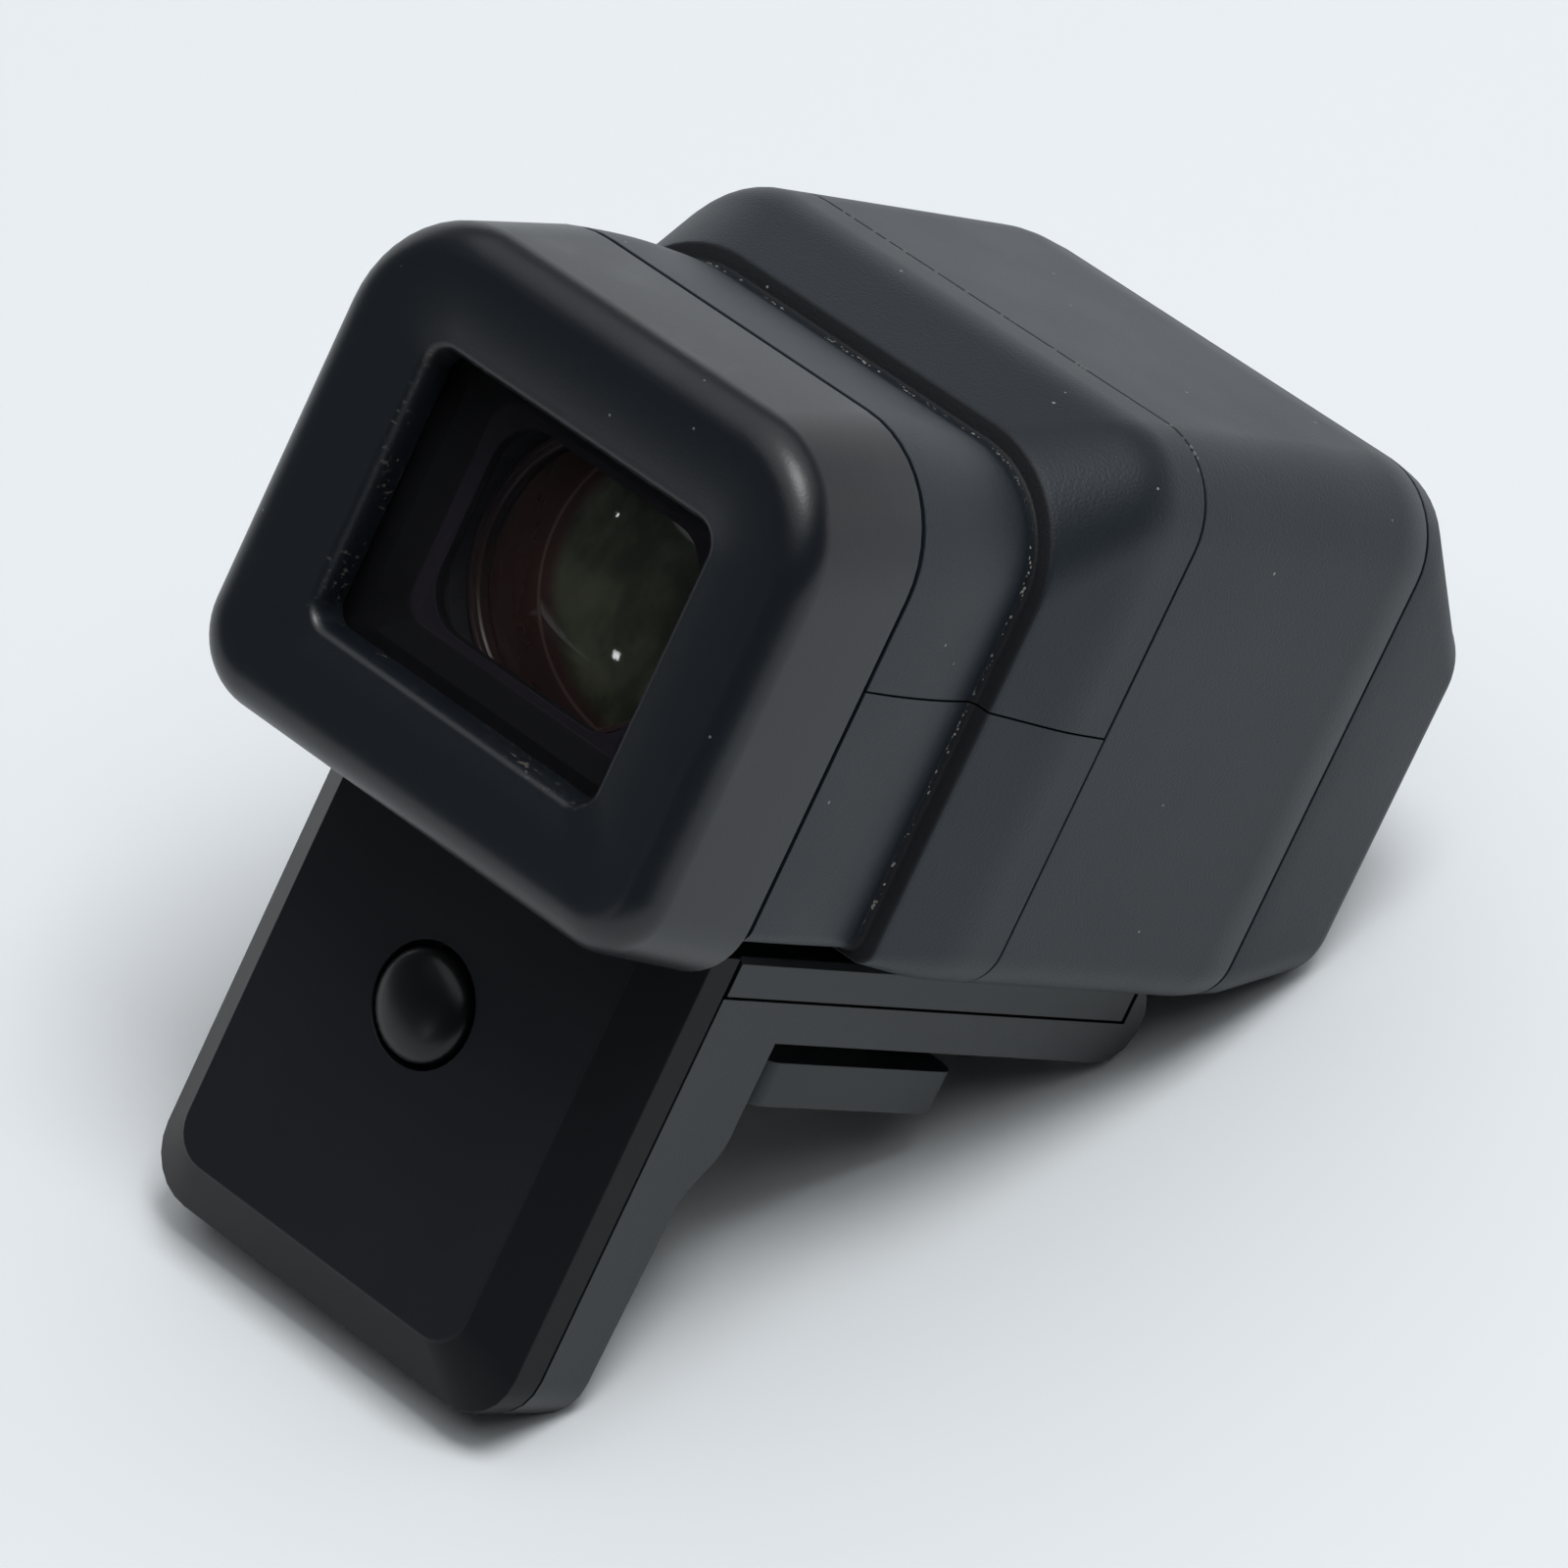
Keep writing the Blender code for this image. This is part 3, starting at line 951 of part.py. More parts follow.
def make_display(black, screen, board):
    """Holder on the barrel's far end, the small display in it and the boards behind."""
    def square(y):
        return centred_ring(y, HOLDER_HALF, HOLDER_HALF, HOOD_CORNER)

    holder = finish("display_holder", loft([square(HOLDER_Y), square(HOLDER_BACK_Y)]), black)
    cut(holder, rod("y", (0, 0, AXIS_Z), HOLDER_Y - OVERRUN, BARREL_END_Y + RUN, BARREL_RADIUS + RUN),
        "barrel_socket")
    cut(holder, block((-PANEL_VIEW_HALF_WIDTH, BARREL_END_Y - OVERRUN, AXIS_Z - PANEL_VIEW_HALF_HEIGHT),
                      (PANEL_VIEW_HALF_WIDTH, HOLDER_BACK_Y + OVERRUN, AXIS_Z + PANEL_VIEW_HALF_HEIGHT)),
        "display_view")
    panel_y = HOLDER_BACK_Y + RUN
    half_width = PANEL_VIEW_HALF_WIDTH + DISPLAY_MARGIN
    half_height = PANEL_VIEW_HALF_HEIGHT + DISPLAY_MARGIN
    panel_end = panel_y + DISPLAY_THICK
    panel = finish("display_panel", block((-half_width, panel_y, AXIS_Z - half_height),
                                          (half_width, panel_end, AXIS_Z + half_height)), screen)
    board_y = panel_end + RUN
    board_end = board_y + DISPLAY_BOARD_THICK
    display_board = finish("display_board", loft([square(board_y), square(board_end)]), board)
    gap = HEAD_WALL + SEAT
    corner = HEAD_CORNER - HEAD_WALL
    edge = HEAD_EDGE - HEAD_WALL / 2
    chip_y = MAIN_BOARD_Y + DISPLAY_BOARD_THICK
    rings = [ring(y, HEAD_HALF_WIDTH - gap, MAIN_BOARD_LOW_Z, HEAD_TOP_Z - gap, edge, corner)
             for y in (MAIN_BOARD_Y, chip_y)]
    main = finish("main_board", loft(rings), board)
    join(main, block((-CHIP_HALF, chip_y - RUN, AXIS_Z - CHIP_HALF),
                     (CHIP_HALF, chip_y + CHIP_THICK, AXIS_Z + CHIP_HALF)), "chip")
    flex = make_flex(board_end + RUN, MAIN_BOARD_Y - RUN, black)
    return holder, panel, display_board, main, flex


def make_flex(start, end, black):
    """Flat cable that sags from the display board to the main board."""
    half = FLEX_THICK / 2
    near, far = start + half, end - half
    route = [(near, FLEX_LOW_Z + FLEX_FOOT)]
    for step in range(ROUND_STEPS + 1):
        share = step / ROUND_STEPS
        route.append((near + (far - near) * share, FLEX_LOW_Z - FLEX_SAG * math.sin(math.pi * share)))
    route.append((far, FLEX_LOW_Z + FLEX_FOOT))
    outer = [(y, z) for y, z in offset(route, half)] + [(y, z) for y, z in reversed(offset(route, -half))]
    return finish("display_flex", prism(outer, "x", -FLEX_HALF_WIDTH, FLEX_HALF_WIDTH), black)


def offset(route, distance):
    """A route moved sideways by a distance, mitred at its bends."""
    points = [Vector(point) for point in route]
    moved = []
    for index, point in enumerate(points):
        before = (point - points[index - 1]).normalized() if index else None
        after = (points[index + 1] - point).normalized() if index + 1 < len(points) else None
        way = ((before or after) + (after or before)).normalized()
        normal = Vector((-way.y, way.x))
        lean = normal.dot(Vector((-(after or before).y, (after or before).x)))
        moved.append(tuple(point + normal * distance / lean))
    return moved


def build():
    for old in list(bpy.data.objects):
        bpy.data.objects.remove(old)
    shell = material("shell_charcoal", (0.045, 0.05, 0.055), 0.5)
    satin = material("leg_black", (0.012, 0.012, 0.014), 0.4)
    rubber = material("rubber", (0.022, 0.024, 0.028), 0.65)
    black = material("inner_black", (0.01, 0.01, 0.011), 0.7)
    metal = material("black_metal", (0.02, 0.021, 0.023), 0.45, 0.3)
    steel = material("steel", (0.5, 0.5, 0.5), 0.3, 1.0)
    glass = material("glass", (0.08, 0.06, 0.07), 0.05)
    screen = material("display", (0.02, 0.02, 0.025), 0.2)
    board = material("board", (0.02, 0.08, 0.04), 0.5)

    make_base_shell(satin)
    make_base_plate(metal)
    make_leg_front(satin)
    make_leg_board(board)
    make_button(satin, rubber)
    make_plug(steel, black)
    make_foot(metal, steel)
    for index, x in enumerate((-LEG_SCREW_X, LEG_SCREW_X)):
        screw(f"leg_screw_{index + 1}", "y", (x, 0, LEG_SCREW_Z), LEG_FRONT_Y - SEAM,
              LEG_FRONT_Y - LEG_SCREW_LENGTH, steel)
    bracket, bracket_screws = make_hinge(steel, metal)
    upper, lower = make_rear_housing(shell)
    main = make_main_housing(shell)
    cap = make_front_cap(shell)
    cup = make_eyecup(rubber)
    frame = make_eyepiece_frame(black)
    window = make_window(glass)
    barrel, carrier, eye, inner = make_optics(black, glass)
    dial, hub = make_dial(shell, steel)
    display = make_display(black, screen, board)
    head = [bracket, *bracket_screws, upper, lower, main, cap, cup, frame, window, barrel, *display]
    tilt = parent_at("head_tilt_axis", (0.0, HINGE_Y, HINGE_Z), head)
    slide = parent_at("lens_slide_axis", (0.0, CARRIER_Y, AXIS_Z), [carrier, eye, inner])
    turn = parent_at("dial_axis", (-DIAL_FACE_X, DIAL_Y, DIAL_Z), [dial, hub])
    for axis_empty in (slide, turn):
        axis_empty.parent = tilt
        axis_empty.matrix_parent_inverse = tilt.matrix_world.inverted()


build()
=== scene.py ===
import math

import bmesh
import bpy
from mathutils import Matrix, Vector


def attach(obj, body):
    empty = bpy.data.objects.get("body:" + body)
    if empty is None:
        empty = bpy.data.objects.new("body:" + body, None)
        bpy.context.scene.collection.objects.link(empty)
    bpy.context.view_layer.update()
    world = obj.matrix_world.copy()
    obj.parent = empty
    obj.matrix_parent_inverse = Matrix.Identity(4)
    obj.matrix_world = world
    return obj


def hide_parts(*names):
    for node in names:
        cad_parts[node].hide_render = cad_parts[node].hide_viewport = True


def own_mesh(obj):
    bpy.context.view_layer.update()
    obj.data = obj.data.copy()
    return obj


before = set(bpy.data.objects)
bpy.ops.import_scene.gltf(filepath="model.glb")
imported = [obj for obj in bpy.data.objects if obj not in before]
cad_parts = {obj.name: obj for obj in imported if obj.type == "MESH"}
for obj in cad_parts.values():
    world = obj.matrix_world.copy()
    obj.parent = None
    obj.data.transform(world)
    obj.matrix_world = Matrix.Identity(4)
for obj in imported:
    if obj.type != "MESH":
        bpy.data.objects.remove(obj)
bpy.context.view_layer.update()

MM = 0.001

# Camera: the place, axes and lens of the photograph's view
CAMERA_PLACE = (0.245672, -0.365936, 0.122757)
CAMERA_RIGHT = (0.691256, 0.591998, 0.414372)
CAMERA_UP = (-0.480166, -0.052223, 0.875622)
CAMERA_BACK = (0.540006, -0.804246, 0.248158)
CAMERA_LENS, CAMERA_SENSOR = 259.345, 36.0
CAMERA_NEAR, CAMERA_FAR = 0.01, 20.0

# Floor: a plane under the leg's end and the nose's lower front edge, on which the object rests
FLOOR_POINT = Vector((0.0, 22.7, 7.98)) * MM
FLOOR_UP = Vector((0.0, -0.560473, 0.828173))
FLOOR_RADIUS = 1.2
FLOOR_COLOUR = (0.86, 0.88, 0.895)
BACKDROP_COLOUR = (0.96, 0.98, 1.0)

# Dim cards round the floor: colour, lower and upper edge, first bearing and turn
LEFT_CARD = ((0.11, 0.116, 0.125), 0.0, 1.35, math.radians(-176), math.radians(82))
RIGHT_CARD = ((0.03, 0.032, 0.035), 0.0, 1.35, math.radians(-94), math.radians(134))
FAR_CARD = ((0.22, 0.225, 0.235), 0.35, 1.1, math.radians(40), math.radians(144))

# Lamps: direction from the head, distance, side and power
SOFTBOX = ((0.225, -0.535, 0.814), 0.9, 0.34, 4.1)
LOW_CATCH_LIGHT = ((-0.21, -0.855, -0.45), 0.5, 0.02, 0.026)
LEFT_CATCH_LIGHT = ((-0.55, -0.81, 0.13), 0.5, 0.006, 0.005)
LAMP_COLOUR = (0.955, 0.985, 1.0)

# Head, in millimetres, as the solids have it
AXIS_Z = 17.65
HEAD_HALF, HEAD_LOW, HEAD_HIGH = 13.4, 7.27, 31.3
HEAD_EDGE, HEAD_CORNER = 2.2, 3.8
HEAD_WALL = 1.3
NECK_Y, STEP_Y, MAIN_Y, CAP_Y, FRONT_Y = -16.4, -8.1, -0.86, 15.7, 23.9
NECK_HALF, NECK_LOW, NECK_HIGH = 12.6, 8.7, 29.2
NECK_EDGE, NECK_CORNER = 0.8, 5.4
WAIST_INSET, WAIST_DROP = 0.8, 0.7
SPLIT_REAR, SPLIT_MAIN = 19.8, 19.15
SEAM = 0.12
LIP_REACH, LIP_INSET = 1.0, 0.5
FRONT_ROLL, FRONT_ROLL_LENGTH = 0.3, 2.5
CAP_WALL = 1.4
NOSE_HALF, NOSE_LOW, NOSE_HIGH = 12.1, 8.07, 24.7
NOSE_CORNER, NOSE_ROUND = 2.4, 1.2
NOSE_START_SHARE, NOSE_END_SHARE = 0.06, 0.92
KNUCKLE_HALF, KNUCKLE_START, KNUCKLE_END = 6.8, 12.0, 18.0
NOTCH_LOW, NOTCH_HIGH, TONGUE_NOTCH_HIGH = 5.0, 8.69, 10.5
DIAL_Y, DIAL_Z, DIAL_HOLE = -12.3, 14.2, 3.22
DIAL_HOLE_DEPTH = 4.0
OVERCUT = 1.0

# Neck, groove and shoulder, in millimetres, where the scene is closer to the photograph
WAIST_SAG, SAG_START = 0.5, 0.3
STEP_LOW, STEP_RISE, STEP_ROLL = 7.95, 0.85, 0.12
STEP_ROLL_SHARES = (0.0, 0.5, 0.8)
GROOVE_WIDTH, GROOVE_SHARE = 0.45, 0.22
SHOULDER_LENGTH, FLANK_SHARE = 5.4, 0.6
SPLIT_SEAM = 0.07

# Eyecup and eyepiece, in millimetres
CUP_REAR_Y, CUP_CREST_Y, CUP_OPENING_Y = -16.6, -23.8, -22.4
CUP_HALF, CUP_LOW, CUP_HIGH = 12.65, 6.2, 29.2
CUP_FLARE, CUP_LOW_RISE, CUP_HIGH_DROP = 0.1, 0.7, 0.6
CUP_LOW_CORNER, CUP_HIGH_CORNER = 3.2, 5.4
CUP_ROLL, CUP_LIP = 1.5, 0.6
OPENING_HALF_WIDTH, OPENING_HALF_HEIGHT, OPENING_CORNER = 7.76, 5.95, 0.9
OPENING_ROLL_WIDTH, OPENING_ROLL_RISE = 0.5, 1.05
LENS_RIM_Y, LENS_RADIUS, LENS_EDGE, LENS_BULGE = -17.48, 5.6, 1.2, 1.2
MASK_FACE_Y = -19.78

# Pocket behind the eyecup's lip: half width, half height and corner
CUP_POCKET = (10.3, 7.8, 2.3)

# Ring round the lens: its back and bore, and its steps as (towards the eye, out from the bore)
RETAINER_BACK_Y, RETAINER_BORE = -17.6, 5.62
RETAINER_STEPS = ((0.0, 0.0), (0.35, 0.0), (0.45, 0.08), (0.45, 0.23), (0.3, 0.23), (0.3, 0.38),
                  (0.4, 0.38), (0.4, 0.56), (0.0, 0.56), (0.0, 0.0))

# Lens coating, in millimetres: centre and fading radii of the olive part, and of the painted reflection
# arc on its edge
OLIVE_CENTRE, OLIVE_REACH = (5.0, 2.0), (6.3, 7.2)
REFLECTION_ARC_CENTRE, REFLECTION_ARC_REACH = (4.2, 1.7), (6.78, 6.84)

# Lint round the eyecup's opening: where it fades out beside and above, in millimetres
LINT_BESIDE, LINT_ABOVE = (0.24, 0.54), (0.15, 0.5)

# Housing: painted groove shade and crumbs measured from the step, dust from the seam and the top, in
# millimetres
GROOVE_SHADE_BAND, CRUMB_BAND = (-0.2, 0.02), (-0.3, -0.16)
DUST_BAND, DUST_TOP = (-0.22, 0.12), (-1.5, -0.8)

# Leg: its flat face, and how far behind that the slopes' painted shade and duller finish set in, in
# millimetres
PANEL_FACE_Y = -16.4
SLOPE_SHADE_START = (0.04, 0.12)

# Widths of the eased edges
FINE_EDGE = 0.02 * MM
THIN_EDGE = 0.03 * MM
SEAM_EDGE = 0.05 * MM
PLATE_EDGE = 0.06 * MM
SLEEVE_EDGE = 0.08 * MM
BODY_EDGE = 0.1 * MM
BROAD_EDGE = 0.12 * MM

# How finely curves are stepped
CORNER_STEPS = 12
ROLL_STEPS = 10
SPIN_STEPS = 72
CIRCLE_STEPS = 64
CARD_STEPS = 48
LOFT_SPACING = 20.0

# Joining of doubled points, and the angles that count as flat and as a crease
MERGE = 0.001 * MM
FLAT = math.radians(0.6)
CREASE = math.radians(32)


class Value:
    """A node's output. One that carries a number takes part in ordinary sums."""

    def __init__(self, finish, socket):
        self.finish = finish
        self.socket = socket

    def maths(self, operation, first, second):
        return self.finish.node("ShaderNodeMath", {"operation": operation}, {0: first, 1: second})

    def __add__(self, other):
        return self.maths("ADD", self, other)

    def __sub__(self, other):
        return self.maths("SUBTRACT", self, other)

    def __rsub__(self, other):
        return self.maths("SUBTRACT", other, self)

    def __mul__(self, other):
        return self.maths("MULTIPLY", self, other)

    def __truediv__(self, other):
        return self.maths("DIVIDE", self, other)

    def __pow__(self, other):
        return self.maths("POWER", self, other)

    def __lt__(self, other):
        return self.maths("LESS_THAN", self, other)

    def __abs__(self):
        return self.maths("ABSOLUTE", self, 0.0)

    __radd__ = __add__
    __rmul__ = __mul__


class Finish:
    """A material or world whose nodes are added one by one."""

    def __init__(self, owner):
        owner.use_nodes = True
        self.owner = owner
        self.tree = owner.node_tree
        self.tree.nodes.clear()

    def node(self, kind, settings=None, inputs=None, output=0):
        """A node with its settings, then its sockets' values or links."""
        made = self.tree.nodes.new(kind)
        for name, setting in (settings or {}).items():
            setattr(made, name, setting)
        for name, given in (inputs or {}).items():
            self.feed(made.inputs[name], given)
        return Value(self, made.outputs[output]) if made.outputs else None

    def feed(self, socket, given):
        """Links a value to a socket, or sets a constant on it."""
        if isinstance(given, Value):
            self.tree.links.new(given.socket, socket)
        else:
            socket.default_value = given

    def place(self):
        """The point on the object, in metres."""
        return self.node("ShaderNodeTexCoord", output="Object")

    def axis(self, name):
        """One coordinate of the point, in millimetres."""
        return self.node("ShaderNodeSeparateXYZ", inputs={0: self.place()}, output=name) / MM

    def reach(self, centre):
        """Distance from a centre given across and up from the eyepiece axis, in millimetres."""
        across = self.axis("X") - centre[0]
        up = self.axis("Z") - AXIS_Z - centre[1]
        return (across ** 2.0 + up ** 2.0) ** 0.5

    def spot(self, offset, stretch=(1.0, 1.0, 1.0)):
        """The point, moved and stretched so that patterns differ."""
        return self.node("ShaderNodeMapping", inputs={"Vector": self.place(), "Location": offset,
                                                      "Scale": stretch})

    def noise(self, size, detail=2.0, roughness=0.5, offset=(0.0, 0.0, 0.0), stretch=(1.0, 1.0, 1.0)):
        """Soft noise from 0 to 1 whose lumps measure about size metres."""
        return self.node("ShaderNodeTexNoise", inputs={
            "Vector": self.spot(offset, stretch), "Scale": 1.0 / size, "Detail": detail,
            "Roughness": roughness})

    def specks(self, spacing, radius_share, keep_share, offset=(0.0, 0.0, 0.0)):
        """Small dots strewn over the object, some of them left out."""
        cells = {"Vector": self.spot(offset), "Scale": 1.0 / spacing}
        near = self.node("ShaderNodeTexVoronoi", inputs=cells, output="Distance")
        tint = self.node("ShaderNodeTexVoronoi", inputs=cells, output="Color")
        chance = self.node("ShaderNodeSeparateColor", inputs={0: tint}, output=0)
        return (near < radius_share) * (chance < keep_share)

    def ramp(self, share, low, high):
        """0 below low, 1 above high and smooth between."""
        return self.node("ShaderNodeMapRange", {"interpolation_type": "SMOOTHSTEP"},
                         {"Value": share, "From Min": low, "From Max": high})

    def band(self, share, low, high, soft):
        """1 between two levels, with soft ends."""
        return self.ramp(share, low - soft, low) * (1 - self.ramp(share, high, high + soft))

    def blend(self, share, first, second):
        """One colour going over into another."""
        mixed = self.node("ShaderNodeMix", {"data_type": "RGBA"}, {"Factor": share}, output=2)
        for index, colour in ((6, first), (7, second)):
            given = colour if isinstance(colour, Value) else rgba(colour)
            self.feed(mixed.socket.node.inputs[index], given)
        return mixed

    def bump(self, height, depth):
        """Relief of the given depth in metres."""
        return self.node("ShaderNodeBump", inputs={"Height": height, "Distance": depth, "Strength": 1.0})

    def principled(self, **sockets):
        """Ends the material in one Principled shader."""
        named = {name.replace("_", " "): value for name, value in sockets.items()}
        shader = self.node("ShaderNodeBsdfPrincipled", inputs=named)
        self.node("ShaderNodeOutputMaterial", inputs={"Surface": shader})
        return self.owner


def new_finish(name):
    return Finish(bpy.data.materials.new(name))


def rgba(colour):
    return (*colour, 1.0)


def housing_plastic(name, level):
    """Charcoal plastic with painted shade in the groove's hollow, with crumbs in the groove and dust on a
    seam.
    """
    finish = new_finish(name)
    along = finish.axis("Y")
    grain = finish.noise(0.13 * MM, detail=3.0)
    cloud = finish.noise(11 * MM, detail=3.0, offset=(0.004, 0.0, 0.009))
    colour = finish.blend(cloud * 0.55 + grain * 0.45, (0.007, 0.0115, 0.0165), (0.0135, 0.019, 0.0255))

    # Painted shade: the groove's hollow is darkened in colour to stand in for its shadow.
    hollow = finish.band(along - STEP_Y, *GROOVE_SHADE_BAND, soft=0.16)
    colour = finish.blend(hollow * 0.85, colour, (0.002, 0.0028, 0.0045))

    in_groove = finish.band(along - STEP_Y, *CRUMB_BAND, soft=0.05)
    patches = finish.ramp(finish.noise(2.4 * MM), 0.4, 0.55)
    crumbs = finish.specks(0.17 * MM, radius_share=0.42, keep_share=0.5) * patches * in_groove
    on_seam = finish.band(along - MAIN_Y, *DUST_BAND, soft=0.05)
    on_top = finish.ramp(finish.axis("Z") - HEAD_HIGH, *DUST_TOP)
    dust = finish.specks(0.25 * MM, radius_share=0.4, keep_share=0.35, offset=(0.0, 0.003, 0.0))
    crumbs = crumbs + dust * on_top * on_seam * 0.6
    colour = finish.blend(crumbs * 0.85, colour, (0.30, 0.28, 0.25))

    speck = finish.specks(2.2 * MM, radius_share=0.032, keep_share=0.7, offset=(0.002, 0.001, 0.0))
    colour = finish.blend(speck * 0.7, colour, (0.33, 0.33, 0.32))
    rough = 0.45 + (finish.noise(5 * MM) - 0.5) * 0.08 + crumbs * 0.3 + hollow * 0.2
    relief = finish.bump(grain + crumbs * 1.2, depth=0.02 * MM)
    return finish.principled(Base_Color=colour, Roughness=rough, Normal=relief, Specular_IOR_Level=level)


def eyecup_rubber():
    """Blue-black rubber: soft sheen, rubbed patches and lint round the opening."""
    finish = new_finish("eyecup_rubber")
    grain = finish.noise(0.12 * MM)
    wear = finish.noise(6 * MM, detail=4.0, roughness=0.6, offset=(0.003, 0.0, 0.0))
    rubbed = finish.ramp(wear, 0.52, 0.72)
    colour = finish.blend(rubbed * 0.5 + grain * 0.3, (0.0048, 0.0066, 0.0096), (0.0095, 0.0121, 0.016))
    speck = finish.specks(2.0 * MM, radius_share=0.03, keep_share=0.7, offset=(0.001, 0.0, 0.002))
    colour = finish.blend(speck * 0.6, colour, (0.24, 0.24, 0.23))

    beside = abs(finish.axis("X")) - OPENING_HALF_WIDTH
    above = abs(finish.axis("Z") - AXIS_Z) - OPENING_HALF_HEIGHT
    rim = (1 - finish.ramp(beside, *LINT_BESIDE)) * (1 - finish.ramp(above, *LINT_ABOVE))
    lint = finish.ramp(finish.noise(0.35 * MM, detail=3.0, stretch=(1.0, 1.0, 2.0)), 0.58, 0.68)
    dusty = lint * rim * finish.ramp(finish.noise(2.2 * MM), 0.45, 0.6)
    colour = finish.blend(dusty * 0.5, colour, (0.13, 0.11, 0.09))
    return finish.principled(Base_Color=colour, Roughness=0.35 - rubbed * 0.05 + dusty * 0.3,
                             Normal=finish.bump(grain, depth=0.005 * MM), Specular_IOR_Level=0.48)


def moulded(name, dark, light, roughness, grain_size, depth, level=0.5):
    """Plain moulded plastic with a slight cloudiness."""
    finish = new_finish(name)
    grain = finish.noise(grain_size)
    cloud = finish.noise(7 * MM, detail=3.0)
    colour = finish.blend(cloud * 0.7 + grain * 0.3, dark, light)
    rough = roughness + (finish.noise(3 * MM) - 0.5) * 0.06
    return finish.principled(Base_Color=colour, Roughness=rough, Normal=finish.bump(grain, depth),
                             Specular_IOR_Level=level)


def leg_plastic():
    """Satin near-black moulding whose slopes are duller than its flat face, with painted shade on the
    slopes.
    """
    finish = new_finish("satin_black")
    grain = finish.noise(0.11 * MM)
    cloud = finish.noise(7 * MM, detail=3.0)
    slope_shade_and_dullness = finish.ramp(finish.axis("Y") - PANEL_FACE_Y, *SLOPE_SHADE_START)
    flat = finish.blend(cloud * 0.7 + grain * 0.3, (0.0128, 0.0135, 0.0165), (0.0162, 0.0172, 0.0208))
    # Painted shade: the slopes' colour is darkened to stand in for the shade they show.
    colour = finish.blend(slope_shade_and_dullness, flat, (0.0068, 0.0074, 0.0095))
    rough = 0.38 + slope_shade_and_dullness * 0.05 + (cloud - 0.5) * 0.06
    relief = finish.bump(grain, depth=0.004 * MM)
    return finish.principled(Base_Color=colour, Roughness=rough, Normal=relief, Specular_IOR_Level=0.12)


def metal(name, dark, light, roughness, metallic=1.0):
    """Brushed or painted metal with fine streaks along X."""
    finish = new_finish(name)
    streak = finish.noise(0.5 * MM, detail=4.0, stretch=(1.0, 12.0, 12.0))
    rough = roughness + (streak - 0.5) * 0.12
    return finish.principled(Base_Color=finish.blend(streak, dark, light), Roughness=rough,
                             Metallic=metallic, Normal=finish.bump(streak, depth=0.003 * MM))


def frame_black():
    """Matt inner moulding, deep black, with a purplish face round the mask's opening."""
    finish = new_finish("frame_black")
    grain = finish.noise(0.2 * MM)
    deep = finish.blend(grain, (0.0012, 0.0012, 0.0016), (0.0025, 0.0025, 0.003))
    face = finish.band(finish.axis("Y") - MASK_FACE_Y, -0.02, 0.05, soft=0.03)
    colour = finish.blend(face, deep, (0.014, 0.011, 0.0165))
    return finish.principled(Base_Color=colour, Roughness=0.75, Specular_IOR_Level=0.12)


def window_glass():
    """Thin clear coated cover glass with a breath of haze."""
    finish = new_finish("cover_glass")
    haze = finish.noise(3 * MM, detail=3.0)
    return finish.principled(Base_Color=rgba((0.02, 0.02, 0.024)), Roughness=0.02 + haze * 0.02,
                             Alpha=0.08 + haze * 0.04, IOR=1.45, Specular_IOR_Level=0.5)


def lens_glass():
    """Coated lens: brown at its left edge, olive and cloudy over the rest, with a fine painted reflection
    arc between.
    """
    finish = new_finish("lens_coating")
    drift = finish.noise(2.4 * MM, detail=3.0) - 0.5
    cloud = finish.noise(1.6 * MM, detail=4.0, roughness=0.6, offset=(0.002, 0.0, 0.004),
                         stretch=(1.0, 1.0, 0.6))
    olive = finish.blend(finish.ramp(cloud, 0.35, 0.7), (0.030, 0.034, 0.018), (0.075, 0.080, 0.048))
    brown = finish.blend(cloud, (0.030, 0.013, 0.010), (0.050, 0.022, 0.016))
    from_olive = finish.reach(OLIVE_CENTRE) + drift * 0.5
    colour = finish.blend(1 - finish.ramp(from_olive, *OLIVE_REACH), brown, olive)
    # Painted reflection: a light arc on the lens's edge.
    arc = finish.band(finish.reach(REFLECTION_ARC_CENTRE), *REFLECTION_ARC_REACH, soft=0.1)
    colour = finish.blend(arc * 0.6, colour, (0.13, 0.09, 0.08))
    return finish.principled(Base_Color=colour, Roughness=0.04 + finish.noise(1 * MM) * 0.02, IOR=1.52,
                             Specular_IOR_Level=0.5)


def circuit_board():
    """Green board with lighter tracks."""
    finish = new_finish("circuit_green")
    tracks = finish.ramp(finish.noise(0.9 * MM, detail=0.0, stretch=(1.0, 3.0, 0.6)), 0.5, 0.54)
    return finish.principled(Base_Color=finish.blend(tracks, (0.012, 0.06, 0.03), (0.03, 0.12, 0.06)),
                             Roughness=0.4 + tracks * 0.1)


def display_face():
    """Dark display face with a faint pixel mesh."""
    finish = new_finish("display_face")
    squares = {"Vector": finish.place(), "Scale": 1.0 / (0.1 * MM)}
    mesh = finish.node("ShaderNodeTexChecker", inputs=squares, output=1)
    return finish.principled(Base_Color=finish.blend(mesh, (0.02, 0.02, 0.026), (0.03, 0.03, 0.038)),
                             Roughness=0.12 + mesh * 0.02)


